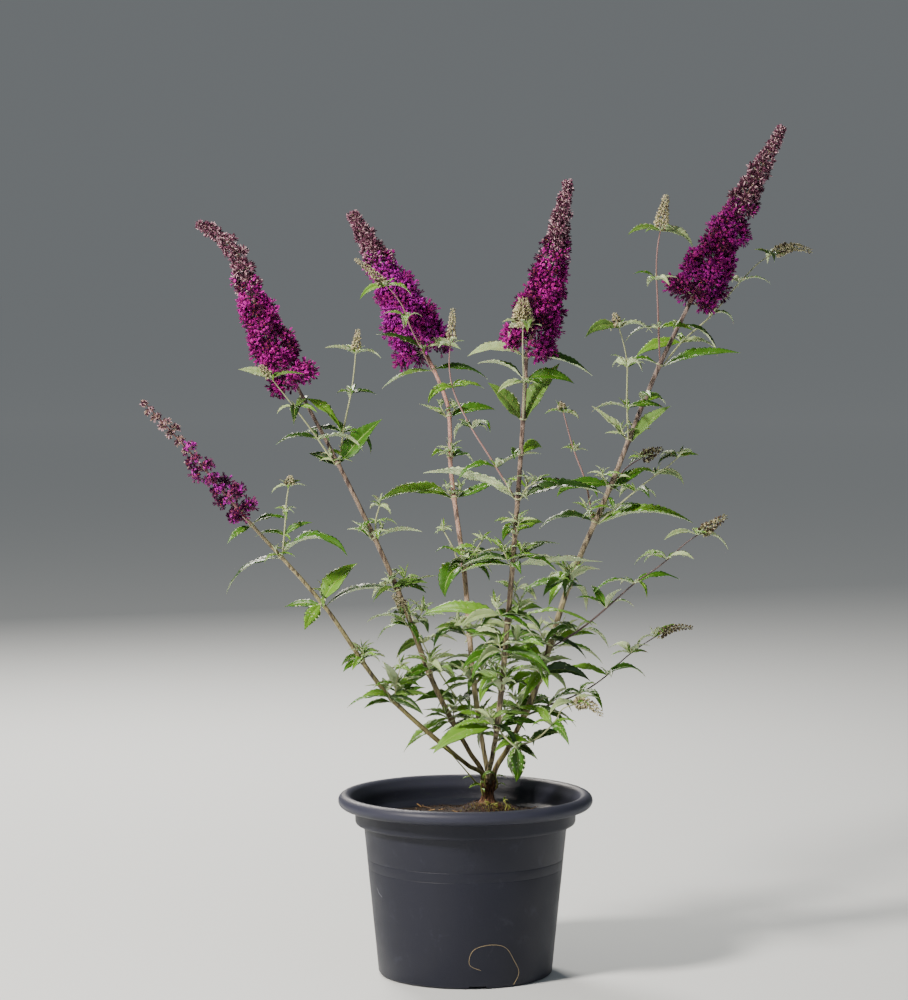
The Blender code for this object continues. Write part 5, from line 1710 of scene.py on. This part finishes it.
@dataclass
class CompostBed:
    """The compost that fills the pot, with its low mound, crumbs, straw, moss and seedlings."""

    height: float = 0.181
    top_radius: float = 0.1165
    foot_radius: float = 0.0988
    floor: float = 0.0046
    mound_radii: tuple = (0.020, 0.038, 0.070)
    rings: int = 46
    spokes: int = 128
    crumbs: int = 1500
    straws: int = 80
    moss_tufts: int = 620
    bare_radius: float = 0.012
    moss_gap: float = 0.009

    @staticmethod
    def from_stump(x: float, y: float) -> float:
        """Return a place's distance from the rootstock's middle."""
        return math.hypot(x - STUMP_CENTRE.x, y - STUMP_CENTRE.y)

    def level(self, x: float, y: float) -> float:
        """Return the height of the surface at a place."""
        away = self.from_stump(x, y)
        mound = np.interp(away, (0.0, *self.mound_radii, 1.0),
                          (MOUND_HEIGHT, MOUND_HEIGHT, MOUND_HEIGHT - 0.008, self.height, self.height))
        out = math.hypot(x, y) / self.top_radius
        rough = 1.6 * MM * noise.noise(Vector((x * 55, y * 55, 3.0))) \
            + 0.9 * MM * noise.noise(Vector((x * 190, y * 190, 7.0)))
        calm = min(max((away - 0.010) / 0.012, 0.25), 1.0)
        return float(mound) - 0.001 * out + rough * calm

    def build(self) -> list[bpy.types.Object]:
        """Build the bed and what lies on it."""
        turns = [(math.cos(a), math.sin(a)) for a in (math.tau * i / self.spokes for i in range(self.spokes))]
        grid = []
        for ring in range(self.rings + 1):
            radius = self.top_radius * ring / self.rings
            grid += [(radius * x, radius * y, self.level(radius * x, radius * y)) for x, y in turns]
        grid += [(self.foot_radius * x, self.foot_radius * y, self.floor) for x, y in turns]
        pool = Gather()
        pool.add(np.array(grid), ring_quads(self.rings + 2, self.spokes)[:, TURNED_OVER], 0)
        bed = pool.make("compost_bed", (PEAT,))
        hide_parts("compost")
        return [bed, self.scatter(), self.grow_moss()]

    def spot(self, rng: random.Random) -> tuple[float, float]:
        """Draw a place on the bed, clear of the rootstock."""
        while True:
            radius = self.top_radius * 0.97 * math.sqrt(rng.random())
            angle = rng.uniform(0, math.tau)
            x, y = radius * math.cos(angle), radius * math.sin(angle)
            if self.from_stump(x, y) > self.bare_radius:
                return x, y

    def scatter(self) -> bpy.types.Object:
        """Scatter crumbs, straw and bark chips over the bed."""
        rng = random.Random("crumbs")
        points, faces = lathe_triangles(((0, 0), (0.48, 0.30), (0.40, 0.78), (0, 1)), 5)
        crumb = Stamp(points - np.array([0, 0, 0.45]), faces)
        box = np.array([(x, y, z) for z in (-0.5, 0.5) for y in (-0.5, 0.5) for x in (-0.5, 0.5)], float)
        box[:4, :2] *= 0.8
        sides = np.array([(0, 2, 3), (0, 3, 1), (4, 5, 7), (4, 7, 6), (0, 1, 5), (0, 5, 4),
                          (2, 6, 7), (2, 7, 3), (0, 4, 6), (0, 6, 2), (1, 3, 7), (1, 7, 5)])
        sliver = Stamp(box, sides)
        pool = Gather()
        for stamp, count, tints, lean in ((crumb, self.crumbs, (0, 0, 1), 1.2),
                                          (sliver, self.straws, (2, 2, 3), 0.25)):
            copies = []
            for _ in range(count):
                x, y = self.spot(rng)
                direction = Vector((rng.gauss(0, lean), rng.gauss(0, lean), 1.0)).normalized()
                bulk = rng.uniform(0.9, 1.0) * (0.8 + 2.6 * rng.random() ** 3) * MM
                size = (bulk, bulk * rng.uniform(0.7, 1.2), bulk) if stamp is crumb else \
                    (rng.uniform(6, 19) * MM, rng.uniform(0.8, 2.6) * MM, 0.6 * MM)
                copies.append(((x, y, self.level(x, y) + 0.3 * MM), direction, size, [rng.choice(tints)]))
            stamp.press(pool, copies, [rng.uniform(0, math.tau) for _ in copies])
        made = pool.make("compost_crumbs", (CRUMB_DARK, CRUMB_BROWN, STRAW, CHIP), smooth=False)
        return made

    def grow_moss(self) -> bpy.types.Object:
        """Grow moss in a patch before the rootstock, and a few seedlings in it."""
        rng = random.Random("moss")
        copies = []
        for _ in range(self.moss_tufts):
            x = STUMP_CENTRE.x + rng.gauss(0.006, 0.017)
            y = STUMP_CENTRE.y - 0.016 + rng.gauss(0, 0.010)
            if self.from_stump(x, y) >= self.moss_gap:
                copies.append(((x, y, self.level(x, y) - 0.2 * MM),
                               Vector((rng.gauss(0, 0.35), rng.gauss(0, 0.35), 1.0)).normalized(),
                               (0.9 * MM, 0.9 * MM, rng.uniform(1.5, 4.2) * MM), [rng.choice((0, 1, 1))]))
        pool = Gather()
        Stamp(*lathe_triangles(((0, 0), (0.5, 0.1), (0.22, 0.6), (0, 1)), 4)).press(pool, copies)
        for x, y, height, size, leaves in ((0.047, 0.012, 0.011, 0.008, 3), (0.050, 0.014, 0.006, 0.007, 2),
                                           (0.036, 0.012, 0.004, 0.006, 3), (0.025, 0.016, 0.005, 0.006, 2)):
            root = Vector((x, y, self.level(x, y)))
            tip = root + Vector((-0.002, -0.002, height))
            bow = root.lerp(tip, 0.5) + Vector((0.003, 0.0, 0.0))
            pool.add(*tube(smooth_route([root, bow, tip], 6), [0.8 * MM] * 6, 5), 2)
            for leaf in range(leaves):
                blade = Leaf(rng.uniform(0, 360), size * rng.uniform(0.8, 1.3), rng.uniform(0, 60), 60)
                press_blade(pool, tip, blade, BladeHabit.drawn(rng), 2, 3, 2)
        made = pool.make("moss_and_seedlings", (MOSS, MOSS_DRY, SPROUT, YOUNG_SKINS[0]))
        return made


@dataclass
class Rootstock:
    """The short woody rootstock: flared at its foot, fissured, with stubs of stems cut before."""

    rings: int = 34
    corners: int = 40
    fissure: float = 0.24
    lobe: float = 0.42
    lobe_width: float = 0.42
    girth: float = 0.88
    stubs: tuple = ((250, 38, 0.015, 0.0030), (20, 30, 0.013, 0.0026), (120, 45, 0.014, 0.0028))

    def build(self) -> bpy.types.Object:
        """Skin the rootstock and its stubs."""
        heights = np.linspace(-0.002, STUMP_PROFILE[-1][1] + 0.0012, self.rings)
        levels = [height for _, height in STUMP_PROFILE]
        radii = np.interp(heights, levels, [radius for radius, _ in STUMP_PROFILE]) * self.girth
        radii[-1] *= 0.82
        path = [STUMP_CENTRE + Vector((0, 0, MOUND_HEIGHT + CLEARANCE + h)) for h in heights]
        angles = np.linspace(0, math.tau, self.corners, endpoint=False)
        ridges = np.array([[noise.noise(Vector((math.cos(a) * 4.2, math.sin(a) * 4.2, h * 90)))
                            for a in angles] for h in heights])
        bulge = np.zeros(self.corners)
        for plan in STEMS:
            apart = (angles - math.radians(plan.foot_heading) + math.pi) % math.tau - math.pi
            bulge = np.maximum(bulge, np.exp(-(apart / self.lobe_width) ** 2))
        section = 1 + self.fissure * ridges + self.lobe * (bulge - 0.6)[None, :] \
            * np.linspace(0.3, 1.0, self.rings)[:, None]
        pool = Gather()
        pool.add(*tube(path, radii, self.corners, section), 0)
        for heading, rise, length, radius in self.stubs:
            start = path[len(path) // 2]
            end = start + heading_vector(heading, rise) * length
            stub = smooth_route([start, start.lerp(end, 0.5) + Vector((0, 0, -0.001)), end], 8)
            pool.add(*tube(stub, np.linspace(radius * 1.25, radius, 8), 12), 0)
        made = pool.make("rootstock_bark", (OLD_BARK,))
        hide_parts("rootstock")
        return made

    def sprout(self) -> bpy.types.Object:
        """Grow the small shoots at the rootstock: a thin low twig, and three with single leaves."""
        rng = random.Random("basal shoots")
        pool = Gather()
        for route, leaves in (
                (((17, 27, 218), (13, 18, 222), (4, 8, 234), (-9, -4, 251), (-24, -15, 270)),
                 ((0.35, 205, 13), (1.0, 120, 24), (1.0, 200, 20))),
                (((21, 24, 206), (19, 20, 213), (18, 18, 222)),
                 ((0.9, 190, 16), (1.0, 60, 18), (0.6, -60, 12))),
                (((36, 26, 214), (38, 19, 221), (34, 15, 234)),
                 ((0.3, -40, 15), (0.9, 20, 16), (1.0, 160, 18))),
                (((24, 24, 216), (23, 17, 224), (24, 14, 232)), ((0.8, 100, 14), (1.0, -20, 14)))):
            path = smooth_route(metres(route), 12)
            pool.add(*tube(path, np.linspace(1.0, 0.55, 12) * MM, 6), 0)
            for share, heading, length in leaves:
                blade = Leaf(heading, metres(length), rng.uniform(10, 45), rng.uniform(30, 70), width=0.36)
                press_blade(pool, path[int(share * 11)], blade, BladeHabit.drawn(rng), 1, 2, 3)
        made = pool.make("basal_shoots", (SPROUT, GROWN_SKINS[2], LEAF_FELT, MIDRIB))
        return made


# Studio


@dataclass(frozen=True)
class PaintedFloor:
    """Floor painted flat white, quite matt: pale near the pot; far off, painted light makes it lighter, so that
    no horizon shows.
    """

    colour: str = "#dde1e3"
    # White that the floor fades to far off, as painted light
    far_painted_light: str = "#ffffff"
    near: float = 2.5
    far: float = 12.0

    def make(self) -> bpy.types.Material:
        """Make the material."""
        made, shader = bare_material("floor_painted_matt", self.colour, 1.0, 1.0)
        place = add_node(made, "NewGeometry", {}, "Position")
        distance = add_node(made, "VectorMath", {"operation": "LENGTH", 0: place}, "Value")
        # Painted light: the floor's colour grows lighter with distance, towards white far off
        fade = remap(made, distance, (self.near, self.far))
        feed(shader, {"Base Color": blend(made, fade, linear(self.colour), linear(self.far_painted_light))})
        return made


@dataclass
class Studio:
    """The floor, the light and the camera."""

    eye: tuple = (0.0, -4.2, 0.88)
    pitch: float = 4.37
    yaw: float = math.degrees(math.atan(11.5 / 3596))
    lens: float = 129.46
    reach: float = 60.0
    target: tuple = (0.0, 0.0, 0.55)
    lamps: tuple = (("key_lamp", (-1.9, -1.7, 2.3), 0.50, 195, "#fff6ea"),
                    ("fill_lamp", (2.4, -2.2, 1.3), 1.6, 8, "#e6efff"),
                    ("back_lamp", (-0.9, 2.3, 2.2), 1.0, 110, "#fff8ee"))
    sky: str = "#cfd6da"
    sky_strength: float = 0.24
    floor_radius: float = 40.0
    floor_level: float = -0.0006
    floor_corners: int = 64

    def floor(self) -> bpy.types.Object:
        """Lay a plain round floor, so wide that its rim fades into the light around."""
        count = self.floor_corners
        angles = np.linspace(0, math.tau, count, endpoint=False)
        rim = np.stack([np.cos(angles), np.sin(angles), np.zeros(count)], axis=1) * self.floor_radius
        points = np.concatenate([rim, np.zeros((1, 3))]) + np.array([0.0, 0.0, self.floor_level])
        index = np.arange(count)
        pool = Gather()
        pool.add(points, np.stack([index, (index + 1) % count, np.full(count, count)], axis=1), 0)
        return pool.make("studio_floor", (PaintedFloor(),))

    def build(self) -> None:
        """Set the floor, the lamps, the sky and the camera."""
        self.floor()
        link = bpy.context.scene.collection.objects.link
        for name, place, size, watts, colour in self.lamps:
            light = bpy.data.lights.new(name, "AREA")
            light.size = size
            light.energy = watts
            light.color = linear(colour)[:3]
            lamp = bpy.data.objects.new(name, light)
            lamp.location = place
            lamp.rotation_euler = (Vector(self.target) - lamp.location).to_track_quat("-Z", "Y").to_euler()
            link(lamp)
        world = bpy.data.worlds.new("soft_sky")
        world.use_nodes = True
        feed(world.node_tree.nodes["Background"], {"Color": linear(self.sky), "Strength": self.sky_strength})
        bpy.context.scene.world = world
        camera = bpy.data.objects.new("camera", bpy.data.cameras.new("camera"))
        camera.data.lens = self.lens
        camera.data.clip_end = self.reach
        camera.location = self.eye
        camera.rotation_euler = (math.radians(90 - self.pitch), 0.0, math.radians(self.yaw))
        link(camera)
        bpy.context.scene.camera = camera


def main() -> None:
    """Build every piece in order, set it on the part's body and report it."""
    logging.basicConfig(level=logging.INFO, format="%(message)s")
    space = Space()
    stems = [MainStem(plan) for plan in STEMS]
    for name in (*("stem_" + plan.name for plan in STEMS), *("bloom_" + plan.stem for plan in PANICLES)):
        space.add_node(name)
    pot, rootstock = NurseryPot(), Rootstock()
    pieces = [pot.build(), pot.cling(), *CompostBed().build(), rootstock.build(), rootstock.sprout()]
    for stem in stems:
        bark = stem.build()
        pieces.append(bark)
    crown = Crown(stems, space)
    crown.grow()
    pieces += [FlowerPanicle(plan, stem, crown.pools[plan.stem]).build() for plan, stem in zip(PANICLES, stems)]
    pieces += crown.build()
    for piece in pieces:
        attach(piece, "root")
        LOG.info("%s: %d faces", piece.name, len(piece.data.polygons))
    Studio().build()


if __name__ == "__main__":
    main()
